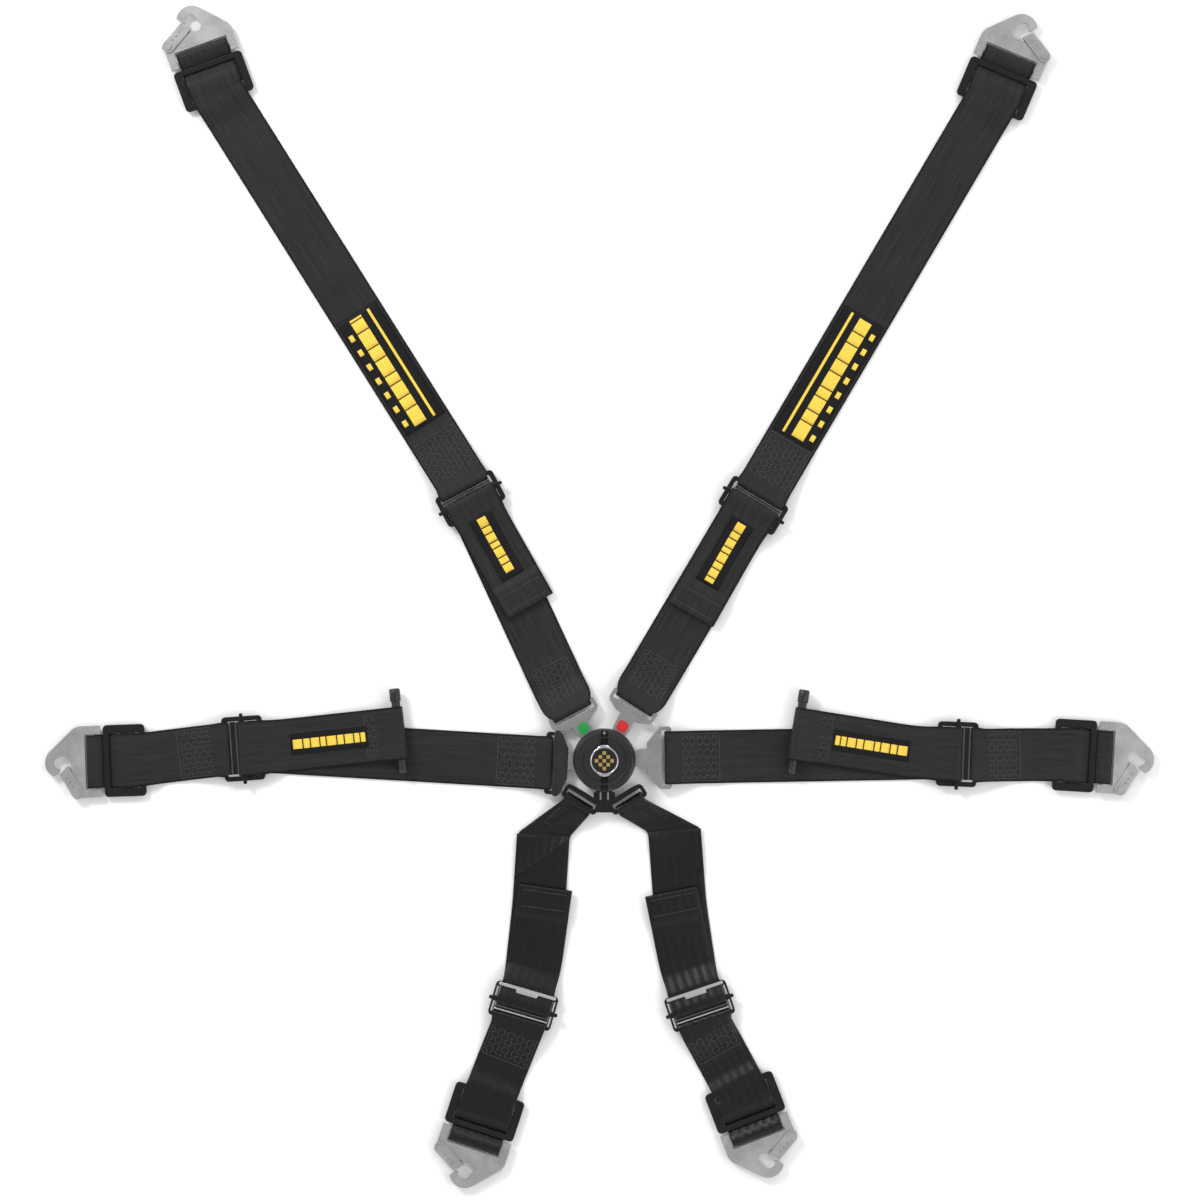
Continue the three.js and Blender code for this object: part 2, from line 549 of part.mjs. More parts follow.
// Pivot bar at u = 0, window and lip towards the buckle (-u), grip bar standing on the two rails.
function adjusterFrame(length) {
  const bar = ADJUSTER_BAR / 2;
  const opening = FRAME_OPENING / 2;
  const lip = bar - length + ADJUSTER_LIP;
  const shape = roundedRectangle(bar - length, bar, -ADJUSTER_WIDTH / 2, ADJUSTER_WIDTH / 2, 4);
  const body = toSolid(plate(shape, 0, ADJUSTER_THICKNESS, 3));
  const window = toSolid(box(lip, -bar, -opening, opening, -5, 5));
  const reach = ADJUSTER_WIDTH / 2 - 1.5;
  const mid = gripBarU(length);
  const low = ADJUSTER_THICKNESS / 2;
  const half = GRIP_BAR_WIDTH / 2;
  const grip = box(mid - half, mid + half, -reach, reach, low, low + GRIP_BAR_THICKNESS);
  return toGeometry(body.subtract(window).add(toSolid(grip)));
}

// ---------------------------------------------------------------- webbing

const STITCHED_LENGTH = 50; // doubled webbing sewn behind a bar
const TAIL_FOLD = 24; // hemmed end of a tail, three layers
const LENGTH_TRAVEL = 25; // how far each strap can be drawn in or let out from here
const STRAP_SLACK = LENGTH_TRAVEL + 3; // inner strap ends this far short of the adjuster's pivot bar
const TURN_DESCENT = 24; // from the adjuster's lip down to the strap
const BEND_OVERLAP = 6; // how far two straight stretches run past the bend between them
const MITRE_HEM = 12; // double webbing past the mitred corner of a crotch strap
const MITRE_START = 6; // from the tongue bar to where a crotch strap starts to widen
const TURNED_CORNERS = 12; // from the tongue bar to where a shoulder strap has its full width

function innerStrap(arm) {
  const start = step([0, 0], arm.barAngle, arm.barRadius);
  const narrow = arm.endWidth;
  const folded = arm.innerLegs.length > 1;
  const rise = [[0, TONGUE_MID_Z], [8, TONGUE_MID_Z], [28, WEBBING_THICKNESS], [32, WEBBING_THICKNESS]];
  const fall = (TONGUE_MID_Z - WEBBING_THICKNESS) / (28 - 8);
  const wide = [[TURNED_CORNERS, TONGUE_MID_Z - (TURNED_CORNERS - 8) * fall], ...rise.slice(2)];
  const pieces = [
    placed(crossCylinder(0, TONGUE_MID_Z, TONGUE_EYE + WEBBING_THICKNESS, narrow), start, arm.barHeading),
    placed(band(rise, DOUBLE, narrow), start, arm.barHeading),
  ];
  const half = WEBBING_THICKNESS / 2;
  let at = start;
  arm.innerLegs.forEach(([heading, length], i) => {
    const last = i === arm.innerLegs.length - 1;
    const next = step(at, heading, length);
    if (folded && !i) {
      pieces.push(mitre(start, arm.barHeading, narrow, next, arm.innerLegs[1][0]));
      at = next;
      return;
    }
    const from = i ? -BEND_OVERLAP : STITCHED_LENGTH - 2;
    const to = last ? length - STRAP_SLACK - gripBarU(arm.adjusterLength) : length + BEND_OVERLAP;
    pieces.push(placed(band([[from, half], [to, half]], WEBBING_THICKNESS, WEBBING_WIDTH), at, heading));
    at = next;
  });
  if (!folded && narrow < WEBBING_WIDTH) {
    pieces.push(placed(band(wide, DOUBLE, WEBBING_WIDTH), start, arm.barHeading));
  }
  if (!folded) {
    const stitched = [[26, WEBBING_THICKNESS], [STITCHED_LENGTH, WEBBING_THICKNESS]];
    pieces.push(placed(band(stitched, DOUBLE, WEBBING_WIDTH), start, arm.innerLegs[0][0]));
  }
  const hole = placed(crossCylinder(0, TONGUE_MID_Z, TONGUE_EYE, 80), start, arm.barHeading);
  return { geometry: toGeometry(join(pieces.map(toSolid)).subtract(toSolid(hole))), end: at };
}

// Webbing folded over on itself, narrow at the tongue and full width past the corner.
function mitre(start, startHeading, narrow, corner, heading) {
  const near = step(start, startHeading, MITRE_START);
  const far = step(corner, heading, MITRE_HEM);
  const across = (point, towards, side, width) => step(point, towards + 90, (side * width) / 2);
  const outline = polygon([
    across(near, startHeading, 1, narrow), across(corner, heading, 1, WEBBING_WIDTH),
    across(far, heading, 1, WEBBING_WIDTH), across(far, heading, -1, WEBBING_WIDTH),
    across(corner, heading, -1, WEBBING_WIDTH), across(near, startHeading, -1, narrow),
  ]);
  return plate(outline, WEBBING_THICKNESS, DOUBLE);
}

// From the adjuster's pivot bar, through the three-bar slide, round the hook's bar.
function outerStrap(arm, pivot, slideAt) {
  const eyeOuter = ADJUSTER_EYE + WEBBING_THICKNESS;
  const slope = [[0, ADJUSTER_Z], [14, ADJUSTER_Z]];
  const firstLeg = [
    placed(crossCylinder(0, ADJUSTER_Z, eyeOuter, WEBBING_WIDTH), pivot, arm.adjusterHeading),
    placed(band(slope, DOUBLE, WEBBING_WIDTH), pivot, arm.adjusterHeading),
  ];
  const bendA = step(pivot, arm.adjusterHeading, 10);
  const halfSlide = SLIDE_LENGTH / 2;
  const run = Math.hypot(slideAt[0] - bendA[0], slideAt[1] - bendA[1]);
  const heading = THREE.MathUtils.radToDeg(Math.atan2(slideAt[1] - bendA[1], slideAt[0] - bendA[0]));
  const descent = 40;
  const half = WEBBING_THICKNESS / 2;
  const doubled = [
    [-2, ADJUSTER_Z], [4, ADJUSTER_Z],
    [descent, WEBBING_THICKNESS], [descent + 10, WEBBING_THICKNESS],
  ];
  const middle = [
    placed(band(doubled, DOUBLE, WEBBING_WIDTH), bendA, heading),
    placed(band([[descent, half], [run, half]], WEBBING_THICKNESS, WEBBING_WIDTH), bendA, heading),
  ];
  const overBar = SLIDE_Z + SLIDE_THICKNESS / 2 + GAP + WEBBING_THICKNESS;
  const inner = SLIDE_MID_BAR / 2;
  const outer = halfSlide - SLIDE_END_BAR;
  const wave = [
    [-halfSlide - 6, WEBBING_THICKNESS], [-outer + 0.6, WEBBING_THICKNESS], [-inner - 1, overBar],
    [inner + 1, overBar], [outer - 0.6, WEBBING_THICKNESS], [halfSlide + 1, WEBBING_THICKNESS],
    [SLIDE_TO_HOOK - 3, HOOK_Z], [SLIDE_TO_HOOK, HOOK_Z],
  ];
  const lastLeg = [
    placed(band(wave, DOUBLE, WEBBING_WIDTH), slideAt, arm.hookHeading),
    placed(crossCylinder(SLIDE_TO_HOOK, HOOK_Z, HOOK_EYE + WEBBING_THICKNESS, WEBBING_WIDTH),
      slideAt, arm.hookHeading),
  ];
  const holes = [
    placed(crossCylinder(0, ADJUSTER_Z, ADJUSTER_EYE, 80), pivot, arm.adjusterHeading),
    placed(crossCylinder(SLIDE_TO_HOOK, HOOK_Z, HOOK_EYE, 80), slideAt, arm.hookHeading),
  ];
  const body = join([...firstLeg, ...middle, ...lastLeg].map(toSolid));
  return toGeometry(body.subtract(join(holes.map(toSolid))));
}

// The webbing that turns round the grip bar, goes over the lip and comes down on the inner strap.
function strapTurn(arm, pivot) {
  const length = arm.adjusterLength;
  const barU = gripBarU(length);
  const over = GRIP_BAR_Z + GRIP_EYE + WEBBING_THICKNESS / 2;
  const overLip = ADJUSTER_Z + ADJUSTER_THICKNESS / 2 + GAP + WEBBING_THICKNESS;
  const lipU = ADJUSTER_BAR / 2 - length;
  const onStrap = UPPER_LAYER + WEBBING_THICKNESS / 2;
  const bend = lipU - TURN_DESCENT;
  const down = [[barU, over], [barU - 3.5, over], [lipU + 2, overLip], [lipU - 2, overLip],
    [bend + 4, onStrap], [bend - 4, onStrap]];
  const bendAt = step(pivot, arm.adjusterHeading, bend);
  const flat = [[-4, onStrap], [2 * (LENGTH_TRAVEL + 1), onStrap]];
  const ring = crossCylinder(barU, GRIP_BAR_Z, GRIP_EYE + WEBBING_THICKNESS, WEBBING_WIDTH);
  const pieces = [
    placed(ring, pivot, arm.adjusterHeading),
    placed(band(down, WEBBING_THICKNESS, WEBBING_WIDTH), pivot, arm.adjusterHeading),
    placed(band(flat, WEBBING_THICKNESS, WEBBING_WIDTH), bendAt, arm.tailHeading),
  ];
  const hole = placed(crossCylinder(barU, GRIP_BAR_Z, GRIP_EYE, 80), pivot, arm.adjusterHeading);
  const geometry = toGeometry(join(pieces.map(toSolid)).subtract(toSolid(hole)));
  return { geometry, bendAt, run: arm.tailLength + (length - ADJUSTER_BAR) / 2 + bend };
}

// The free end, lying on the webbing that comes off the grip bar, hemmed or closed round a pull rod.
function tail(arm, { bendAt, run }, hasRod) {
  const level = 2 * UPPER_LAYER + WEBBING_THICKNESS / 2;
  const start = LENGTH_TRAVEL + 1;
  if (!hasRod) {
    const hem = 3 * WEBBING_THICKNESS;
    const hemZ = 2 * UPPER_LAYER + hem / 2;
    const single = band([[start, level], [run, level]], WEBBING_THICKNESS, WEBBING_WIDTH);
    const folded = band([[run - TAIL_FOLD, hemZ], [run, hemZ]], hem, WEBBING_WIDTH);
    const pieces = [single, folded].map((piece) => toSolid(placed(piece, bendAt, arm.tailHeading)));
    return { geometry: toGeometry(join(pieces)), end: step(bendAt, arm.tailHeading, run) };
  }
  const climb = [[start, level], [run - 18, level], [run - 4, ROD_Z], [run, ROD_Z]];
  const loop = crossCylinder(run, ROD_Z, ROD_EYE + WEBBING_THICKNESS, WEBBING_WIDTH);
  const sleeve = placed(loop, bendAt, arm.tailHeading);
  const flat = placed(band(climb, WEBBING_THICKNESS, WEBBING_WIDTH), bendAt, arm.tailHeading);
  const hole = placed(crossCylinder(run, ROD_Z, ROD_EYE, 100), bendAt, arm.tailHeading);
  const geometry = toGeometry(toSolid(sleeve).add(toSolid(flat)).subtract(toSolid(hole)));
  return { geometry, end: step(bendAt, arm.tailHeading, run) };
}

function pullRod() {
  const half = PULL_ROD_LENGTH / 2;
  const neck = half - PULL_ROD_CAP_LENGTH;
  return new THREE.LatheGeometry([
    [0, -half], [PULL_ROD_RADIUS - 1, -half], [PULL_ROD_RADIUS, -half + 1], [PULL_ROD_RADIUS, neck],
    [PULL_ROD_CAP_RADIUS, neck + 0.6], [PULL_ROD_CAP_RADIUS, half - 1],
    [PULL_ROD_CAP_RADIUS - 1, half], [0, half],
  ].map(([r, y]) => new THREE.Vector2(r, y)), 16);
}

// ---------------------------------------------------------------- the six arms

const hasPullRod = (name) => name.startsWith('lap');

for (const [name, arm] of Object.entries(ARMS)) {
  const webbing = name.startsWith('crotch') ? 'crotchWebbing' : 'webbing';
  const inner = innerStrap(arm);
  const pivot = step(inner.end, arm.adjusterHeading, -gripBarU(arm.adjusterLength));
  const slideAt = step(inner.end, arm.outerHeading, arm.outerLength);
  const hookAt = step(slideAt, arm.hookHeading, SLIDE_TO_HOOK);
  const turn = strapTurn(arm, pivot);
  const free = tail(arm, turn, hasPullRod(name));

  add(`${name}_inner_strap`, inner.geometry, webbing);
  const adjuster = adjusterFrame(arm.adjusterLength);
  add(`${name}_adjuster`, adjuster, 'blackMetal', pivot, arm.adjusterHeading, ADJUSTER_Z);
  add(`${name}_strap_turn`, turn.geometry, webbing);
  add(`${name}_tail`, free.geometry, webbing);
  if (hasPullRod(name)) {
    const up = name === 'lap_left' ? 0 : 180;
    const lift = (PULL_ROD_ABOVE - PULL_ROD_BELOW) / 2;
    const rodAt = step(free.end, arm.tailHeading + 90 - up, lift);
    add(`${name}_pull_rod`, pullRod(), 'blackPlastic', rodAt, arm.tailHeading + up, ROD_Z);
  }
  add(`${name}_outer_strap`, outerStrap(arm, pivot, slideAt), webbing);
  add(`${name}_slide`, threeBarSlide(), 'blackMetal', slideAt, arm.hookHeading, SLIDE_Z);
  add(`${name}_hook`, hook(arm.gateSide), 'zinc', hookAt, arm.hookHeading, HOOK_Z);
  add(`${name}_gate`, gate(arm.gateSide), 'zinc', hookAt, arm.hookHeading, HOOK_Z);
}

export default harness;
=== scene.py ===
"""Looks of a six-point racing harness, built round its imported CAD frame.

Lengths are millimetres until a mesh is made. A strap has a space of its own: s along it, v across it, z up.
"""

import json
import math
import random

import bmesh
import bpy
from mathutils import Matrix, Vector


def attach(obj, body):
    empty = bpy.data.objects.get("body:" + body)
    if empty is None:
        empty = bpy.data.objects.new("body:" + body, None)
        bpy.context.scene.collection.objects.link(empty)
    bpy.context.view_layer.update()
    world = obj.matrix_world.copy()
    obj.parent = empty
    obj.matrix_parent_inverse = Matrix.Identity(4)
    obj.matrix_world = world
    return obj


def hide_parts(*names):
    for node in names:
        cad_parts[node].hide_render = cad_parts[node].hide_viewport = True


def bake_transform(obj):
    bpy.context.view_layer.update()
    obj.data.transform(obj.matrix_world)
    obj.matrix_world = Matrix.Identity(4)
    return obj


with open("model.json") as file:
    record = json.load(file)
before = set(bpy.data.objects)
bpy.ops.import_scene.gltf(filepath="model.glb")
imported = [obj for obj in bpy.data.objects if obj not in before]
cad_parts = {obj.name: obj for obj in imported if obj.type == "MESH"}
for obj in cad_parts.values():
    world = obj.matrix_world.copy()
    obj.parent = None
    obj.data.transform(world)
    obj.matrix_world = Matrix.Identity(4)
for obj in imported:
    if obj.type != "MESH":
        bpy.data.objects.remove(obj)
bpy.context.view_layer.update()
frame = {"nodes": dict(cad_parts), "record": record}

MM = 0.001

# ---------------- the CAD model's own dimensions

WIDTH, THICK = 50.8, 1.3  # webbing
HALF = THICK / 2
STACKED = THICK + HALF  # middle of a layer that lies on another
LAID_OVER = 2.25  # middle of the tail's webbing where it lies on the strap
TAIL_LEVEL = 3.85
TONGUE_BAR_Z, TONGUE_LOOP = 6.9, 3.77  # a bar's height and the radius of the webbing round it
PIVOT_Z, PIVOT_LOOP = 6.095, 3.845
GRIP_Z, GRIP_LOOP = 8.845, 3.865
HOOK_Z, HOOK_LOOP = 5.054, 4.4
ROD_Z, ROD_LOOP = 9.1, 5.25
SLIDE_TO_HOOK = 31  # from the slide's middle bar to the hook's webbing bar
OVER_SLIDE, OVER_END_BAR = 7.65, 6.4  # heights of the webbing over the slide's middle and end bars
IN_FRAME = 52.4  # webbing bunched a little wider between a frame's rails
FRAME_BAR = 5  # width of the adjuster's end bars
KNOB_TOP = 27.5
TONGUE_TOP = 8.2
HEM = 24
ADJUSTER_TOP = PIVOT_Z + 1.25
HOOK_TOP = HOOK_Z + 1.4
GATE_PIVOT, GATE_HEADING = (14.4, 29.9), -61.1
GATE_TOP = HOOK_Z + 3.0

# bar: radius, angle, heading. legs, outer and tail: heading, length. adjuster: heading, size.
# end: width of the webbing at the bar. side: which flank of the hook its gate is on.
ARMS = {
    "shoulder_left": dict(bar=(57.2, 123.6, 118), end=40, legs=[(115.5, 224.4)], adjuster=(118, 32),
                          outer=(121.6, 469.6), hook=110, tail=(299.6, 77.3), side=1),
    "shoulder_right": dict(bar=(62.9, 61.5, 57.5), end=40, legs=[(59.1, 219.6)], adjuster=(58.9, 32),
                           outer=(59.7, 462.9), hook=67, tail=(240.3, 80), side=-1),
    "lap_left": dict(bar=(54.1, 183.2, 177.3), end=50.8, legs=[(177.3, 292.2)], adjuster=(184, 39),
                     outer=(185.8, 114.5), hook=182, tail=(6.3, 106.7), side=1),
    "lap_right": dict(bar=(62.1, 1.8, 0.7), end=50.8, legs=[(0.7, 276)], adjuster=(-2.3, 39),
                      outer=(-0.7, 112.8), hook=-3.4, tail=(170.9, 111), side=-1),
    "crotch_left": dict(bar=(48.2, 239.4, 238), end=29, legs=[(222.5, 46), (266.3, 67.3), (261.2, 97.1)],
                        adjuster=(253.7, 34), outer=(250, 108.3), hook=252, tail=(82.1, 74.2), side=-1),
    "crotch_right": dict(bar=(48.2, 300.6, 302), end=29, legs=[(328.4, 50.2), (274.3, 72.2), (281, 97.8)],
                         adjuster=(288.7, 34), outer=(295.2, 102.6), hook=291, tail=(101.5, 71.5), side=1),
}
END_BODY = {"lap_left": "buckle", "crotch_left": "crotch_end", "crotch_right": "crotch_end"}


def heading_vector(degrees):
    return Vector((math.cos(math.radians(degrees)), math.sin(math.radians(degrees))))


def polar(radius, degrees):
    return heading_vector(degrees) * radius


def spaced(first, last, parts):
    """Evenly spaced values from first to last, both included."""
    return [first + (last - first) * i / parts for i in range(parts + 1)]


def flanks(near, far):
    """The same stretch on the right and on the left of a middle line."""
    return (near, far), (-far, -near)


# ---------------- materials

WEAVE_COLUMN, WEAVE_PICK = 0.0042, 0.0023  # metres: half a herringbone and one ridge of it
SCUFF_SCALE = 160.0
GOLD_TINT = (1.3, 0.95, 0.35)


class Nodes:
    """A small builder for one material's node tree."""

    def __init__(self, name, **sockets):
        self.material = bpy.data.materials.new(name)
        self.material.use_nodes = True
        self.tree = self.material.node_tree
        self.shader = self.tree.nodes["Principled BSDF"]
        for socket, value in sockets.items():
            self.shader.inputs[socket.replace("_", " ")].default_value = value

    def add(self, kind, inputs=(), **settings):
        node = self.tree.nodes.new(kind)
        for key, value in settings.items():
            setattr(node, key, value)
        for key, value in dict(inputs).items():
            self.put(node.inputs[key], value)
        return node

    def put(self, socket, value):
        if isinstance(value, bpy.types.NodeSocket):
            self.tree.links.new(value, socket)
        else:
            socket.default_value = value

    def math(self, operation, *values):
        node = self.add("ShaderNodeMath", dict(enumerate(values)), operation=operation)
        return node.outputs[0]

    def place(self):
        return self.add("ShaderNodeTexCoord").outputs["Object"]

    def stretched(self, vector, scale):
        return self.add("ShaderNodeMapping", {"Vector": vector, "Scale": scale}).outputs["Vector"]

    def noise(self, vector, scale, detail=3.0, rough=0.55):
        return self.add("ShaderNodeTexNoise", {"Vector": vector, "Scale": scale, "Detail": detail,
                                               "Roughness": rough}).outputs["Fac"]

    def ranged(self, value, low, high, start=0.3, end=0.7):
        node = self.add("ShaderNodeMapRange", {"Value": value, "From Min": start, "From Max": end,
                                               "To Min": low, "To Max": high})
        return node.outputs["Result"]

    def mix(self, factor, first, second):
        node = self.add("ShaderNodeMix", data_type="RGBA")
        self.put(node.inputs[0], factor)
        self.put(node.inputs[6], first)
        self.put(node.inputs[7], second)
        return node.outputs[2]

    def bump(self, height, strength, distance):
        node = self.add("ShaderNodeBump", {"Height": height, "Strength": strength, "Distance": distance})
        self.tree.links.new(node.outputs["Normal"], self.shader.inputs["Normal"])

    def finish(self, colour, roughness):
        self.put(self.shader.inputs["Base Color"], colour)
        self.put(self.shader.inputs["Roughness"], roughness)
        return self.material


def grey(value, blue=0.0):
    return (value, value, value + blue, 1)


def webbing_material(name, dark, light, sheen, low_rough, high_rough, specular=0.18):
    """Herringbone weave in the strap's own directions, with streaks along it and dark edges: partly a
    darker selvedge, partly painted shade where the webbing's edge curves away.
    """
    n = Nodes(name, Sheen_Weight=sheen, Sheen_Roughness=0.4, Specular_IOR_Level=specular)
    weave = n.add("ShaderNodeAttribute", attribute_name="weave").outputs["Vector"]
    parts = n.add("ShaderNodeSeparateXYZ", {0: weave})
    along, across, edge = parts.outputs[0], parts.outputs[1], parts.outputs[2]
    column = n.math("PINGPONG", n.math("MULTIPLY", across, 1 / WEAVE_COLUMN), 1.0)
    phase = n.math("ADD", n.math("MULTIPLY", along, 1 / WEAVE_PICK), n.math("MULTIPLY", column, 1.8))
    twill = n.math("MULTIPLY_ADD", n.math("SINE", n.math("MULTIPLY", phase, 2 * math.pi)), 0.5, 0.5)
    streak = n.noise(n.stretched(weave, (12, 420, 1)), 1.0)
    cloud = n.noise(weave, 26.0, 4.0)
    fuzz = n.noise(weave, 900.0, 2.0)
    tone = n.math("MULTIPLY_ADD", n.ranged(cloud, 0, 1), 0.5, n.math("MULTIPLY", twill, 0.28))
    tone = n.math("MULTIPLY_ADD", streak, 0.3, tone)
    cloth = n.mix(tone, grey(dark), grey(light, 0.002))
    # the band near each edge is darkened: partly the selvedge, partly painted shade where the edge of the
    # webbing curves away from the light
    rim = n.ranged(edge, 0.0, 1.0, 0.9, 0.97)
    shade = n.mix(rim, cloth, grey(dark * 0.3))
    n.bump(n.math("MULTIPLY_ADD", fuzz, 0.4, twill), 0.5, 0.00022)
    return n.finish(shade, n.ranged(cloud, low_rough, high_rough))


def metal_material(name, dark, light, low_rough, high_rough, grain=(1, 1, 1), metallic=1.0, coat=0.0,
                   bump=0.12, blue=0.0, specular=0.5, tint=(1, 1, 1)):
    """Metal or paint on metal: soft blotches, fine grain and a few scuffs."""
    def colour(value):
        return (*[c * t for c, t in zip(grey(value, blue), tint)], 1)

    n = Nodes(name, Metallic=metallic, Coat_Weight=coat, Coat_Roughness=0.25, Specular_IOR_Level=specular)
    place = n.place()
    cloud = n.noise(place, 45.0)
    fine = n.noise(n.stretched(place, grain), SCUFF_SCALE * 10, 3.0)
    scuff = n.ranged(n.noise(n.stretched(place, (1, 3, 1)), SCUFF_SCALE, 5.0, 0.7), 0, 1, 0.6, 0.72)
    tone = n.math("MULTIPLY_ADD", n.ranged(cloud, 0, 1), 0.5, n.math("MULTIPLY", fine, 0.5))
    base = n.mix(tone, colour(dark), colour(light))
    base = n.mix(n.math("MULTIPLY", scuff, 0.35), base, colour(min(light * 1.5, 0.9)))
    n.bump(fine, bump, 0.0001)
    return n.finish(base, n.math("MULTIPLY_ADD", scuff, 0.08, n.ranged(fine, low_rough, high_rough)))


def plastic_material(name, dark, light, low_rough, high_rough, colour=None):
    """Moulded plastic or enamel: fine spark-eroded grain and slight shine variation."""
    n = Nodes(name, Specular_IOR_Level=0.5)
    place = n.place()
    grain = n.noise(place, 1500.0, 2.0)
    cloud = n.noise(place, 60.0)
    first = grey(dark) if colour is None else (*[c * 0.8 for c in colour], 1)
    second = grey(light) if colour is None else (*colour, 1)
    n.bump(grain, 0.18, 0.0001)
    return n.finish(n.mix(n.ranged(cloud, 0, 1), first, second), n.ranged(grain, low_rough, high_rough))


def thread_material(name, dark, light):
    n = Nodes(name, Sheen_Weight=0.05, Specular_IOR_Level=0.3)
    place = n.place()
    twist = n.noise(place, 1800.0, 2.0)
    n.bump(twist, 0.4, 0.0001)
    return n.finish(n.mix(twist, grey(dark), grey(light)), n.ranged(twist, 0.5, 0.75))


def woven_colour_material(name, dark, light):
    """Coloured thread woven into a label: fine satin ribs."""
    n = Nodes(name, Sheen_Weight=0.15, Specular_IOR_Level=0.35)
    place = n.place()
    ribs = n.noise(n.stretched(place, (700, 700, 1)), 1.0, 2.0)
    n.bump(ribs, 0.5, 0.0002)
    return n.finish(n.mix(n.ranged(ribs, 0, 1), (*dark, 1), (*light, 1)), n.ranged(ribs, 0.5, 0.75))


M = {
    "webbing": webbing_material("webbing_polyester", 0.003, 0.030, 0.03, 0.45, 0.65),
    "crotch": webbing_material("webbing_crotch", 0.0002, 0.004, 0.01, 0.24, 0.36, 0.34),
    "label": webbing_material("label_black", 0.003, 0.007, 0.02, 0.5, 0.65),
    "thread": thread_material("thread_black", 0.025, 0.075),
    "yellow": woven_colour_material("woven_yellow", (0.75, 0.48, 0.03), (0.95, 0.68, 0.10)),
    "zinc": metal_material("zinc_plated", 0.30, 0.62, 0.34, 0.52, bump=0.45),
    "gunmetal": metal_material("gunmetal", 0.10, 0.20, 0.26, 0.36),
    # near-black, matte floors for the knob's notches: painted shade at the bottom of the recesses
    "notch": plastic_material("notch_black", 0.0004, 0.001, 0.8, 0.95),
    "steel": metal_material("brushed_steel", 0.28, 0.46, 0.30, 0.44, grain=(0.08, 1, 1)),
    "chrome": metal_material("chrome_plated", 0.66, 0.78, 0.10, 0.18, bump=0.03),
    "blue_chrome": metal_material("chrome_bezel", 0.50, 0.62, 0.12, 0.2, bump=0.03, blue=0.06),
    "black_steel": metal_material("black_painted_steel", 0.002, 0.008, 0.26, 0.38, metallic=0.0, coat=0.08,
                                  specular=0.3),
    "knob": plastic_material("knob_plastic", 0.004, 0.010, 0.3, 0.45),
    "black_plastic": plastic_material("black_plastic", 0.006, 0.014, 0.34, 0.5),
    "enamel": plastic_material("black_enamel", 0.003, 0.006, 0.08, 0.14),
    "gold": metal_material("gold_plated", 0.5, 0.6, 0.16, 0.24, bump=0.03, tint=GOLD_TINT),
    "green": plastic_material("green_enamel", 0, 0, 0.25, 0.35, (0.02, 0.35, 0.07)),
    "red": plastic_material("red_enamel", 0, 0, 0.25, 0.35, (0.62, 0.02, 0.02)),
}

# ---------------- making pieces

SHARP_EDGE = math.radians(28)  # an edge that turns by more than this is rounded


def in_scene(name, data):
    made = bpy.data.objects.new(name, data)
    bpy.context.scene.collection.objects.link(made)
    return made


def smooth_object(name, mesh, material):
    mesh.materials.append(M[material])
    mesh.polygons.foreach_set("use_smooth", [True] * len(mesh.polygons))
    return in_scene(name, mesh)


def to_object(name, vertices, faces, material):
    """A mesh object from points in millimetres."""
    mesh = bpy.data.meshes.new(name)
    mesh.from_pydata([Vector(v) * MM for v in vertices], [], faces)
    made = smooth_object(name, mesh, material)
    bm = bmesh.new()
    bm.from_mesh(mesh)
    bmesh.ops.recalc_face_normals(bm, faces=bm.faces)
    bm.to_mesh(mesh)
    bm.free()
    return made


def softened(bm, width, segments):
    """Rounds the sharp edges of a solid."""
    sharp = [e for e in bm.edges if len(e.link_faces) == 2 and e.calc_face_angle(0) > SHARP_EDGE]
    bmesh.ops.bevel(bm, geom=sharp, offset=width * MM, segments=segments, profile=0.6,
                    affect="EDGES", clamp_overlap=True)


def hard_object(name, bm, material):
    mesh = bpy.data.meshes.new(name)
    bm.to_mesh(mesh)
    bm.free()
    made = smooth_object(name, mesh, material)
    mesh.set_sharp_from_angle(angle=math.radians(50))
    weighted = made.modifiers.new("weighted", "WEIGHTED_NORMAL")
    weighted.keep_sharp = True
    return made


BODY_OF = {node: body for body, nodes in frame["record"]["behaviour"]["bodies"].items() for node in nodes}


def finished(node, material, bevel, segments=2):
    """A CAD node's own shape with its edges rounded, standing for that node."""
    bm = bmesh.new()
    bm.from_mesh(frame["nodes"][node].data)
    bmesh.ops.remove_doubles(bm, verts=bm.verts, dist=0.01 * MM)
    bmesh.ops.dissolve_limit(bm, angle_limit=math.radians(1.5), verts=bm.verts, edges=bm.edges)
    softened(bm, bevel, segments)
    made = hard_object(node + "_finished", bm, material)
    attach(made, BODY_OF[node])
    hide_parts(node)


def prism(outline, low, high, at=(0, 0), heading=0.0, bevel=0.3, segments=2):
    """A solid from an outline in millimetres, set down at a place and turned."""
    bm = bmesh.new()
    turn = Matrix.Rotation(math.radians(heading), 4, "Z")
    place = Matrix.Translation(Vector((at[0], at[1], 0)) * MM) @ turn
    top = [bm.verts.new(place @ (Vector((x, y, high)) * MM)) for x, y in outline]
    bottom = [bm.verts.new(place @ (Vector((x, y, low)) * MM)) for x, y in outline]
    count = len(outline)
    bm.faces.new(top)
    bm.faces.new(bottom[::-1])
    for i in range(count):
        j = (i + 1) % count
        bm.faces.new((top[j], top[i], bottom[i], bottom[j]))
    bmesh.ops.recalc_face_normals(bm, faces=bm.faces)
    softened(bm, bevel, segments)
    return bm


def merged(parts):
    whole = bmesh.new()
    for part in parts:
        mesh = bpy.data.meshes.new("part")
        part.to_mesh(mesh)
        whole.from_mesh(mesh)
        bpy.data.meshes.remove(mesh)
        part.free()
    return whole


def detail(name, parts, material, slot, body):
    made = hard_object(name, merged(parts), material)
    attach(made, body)


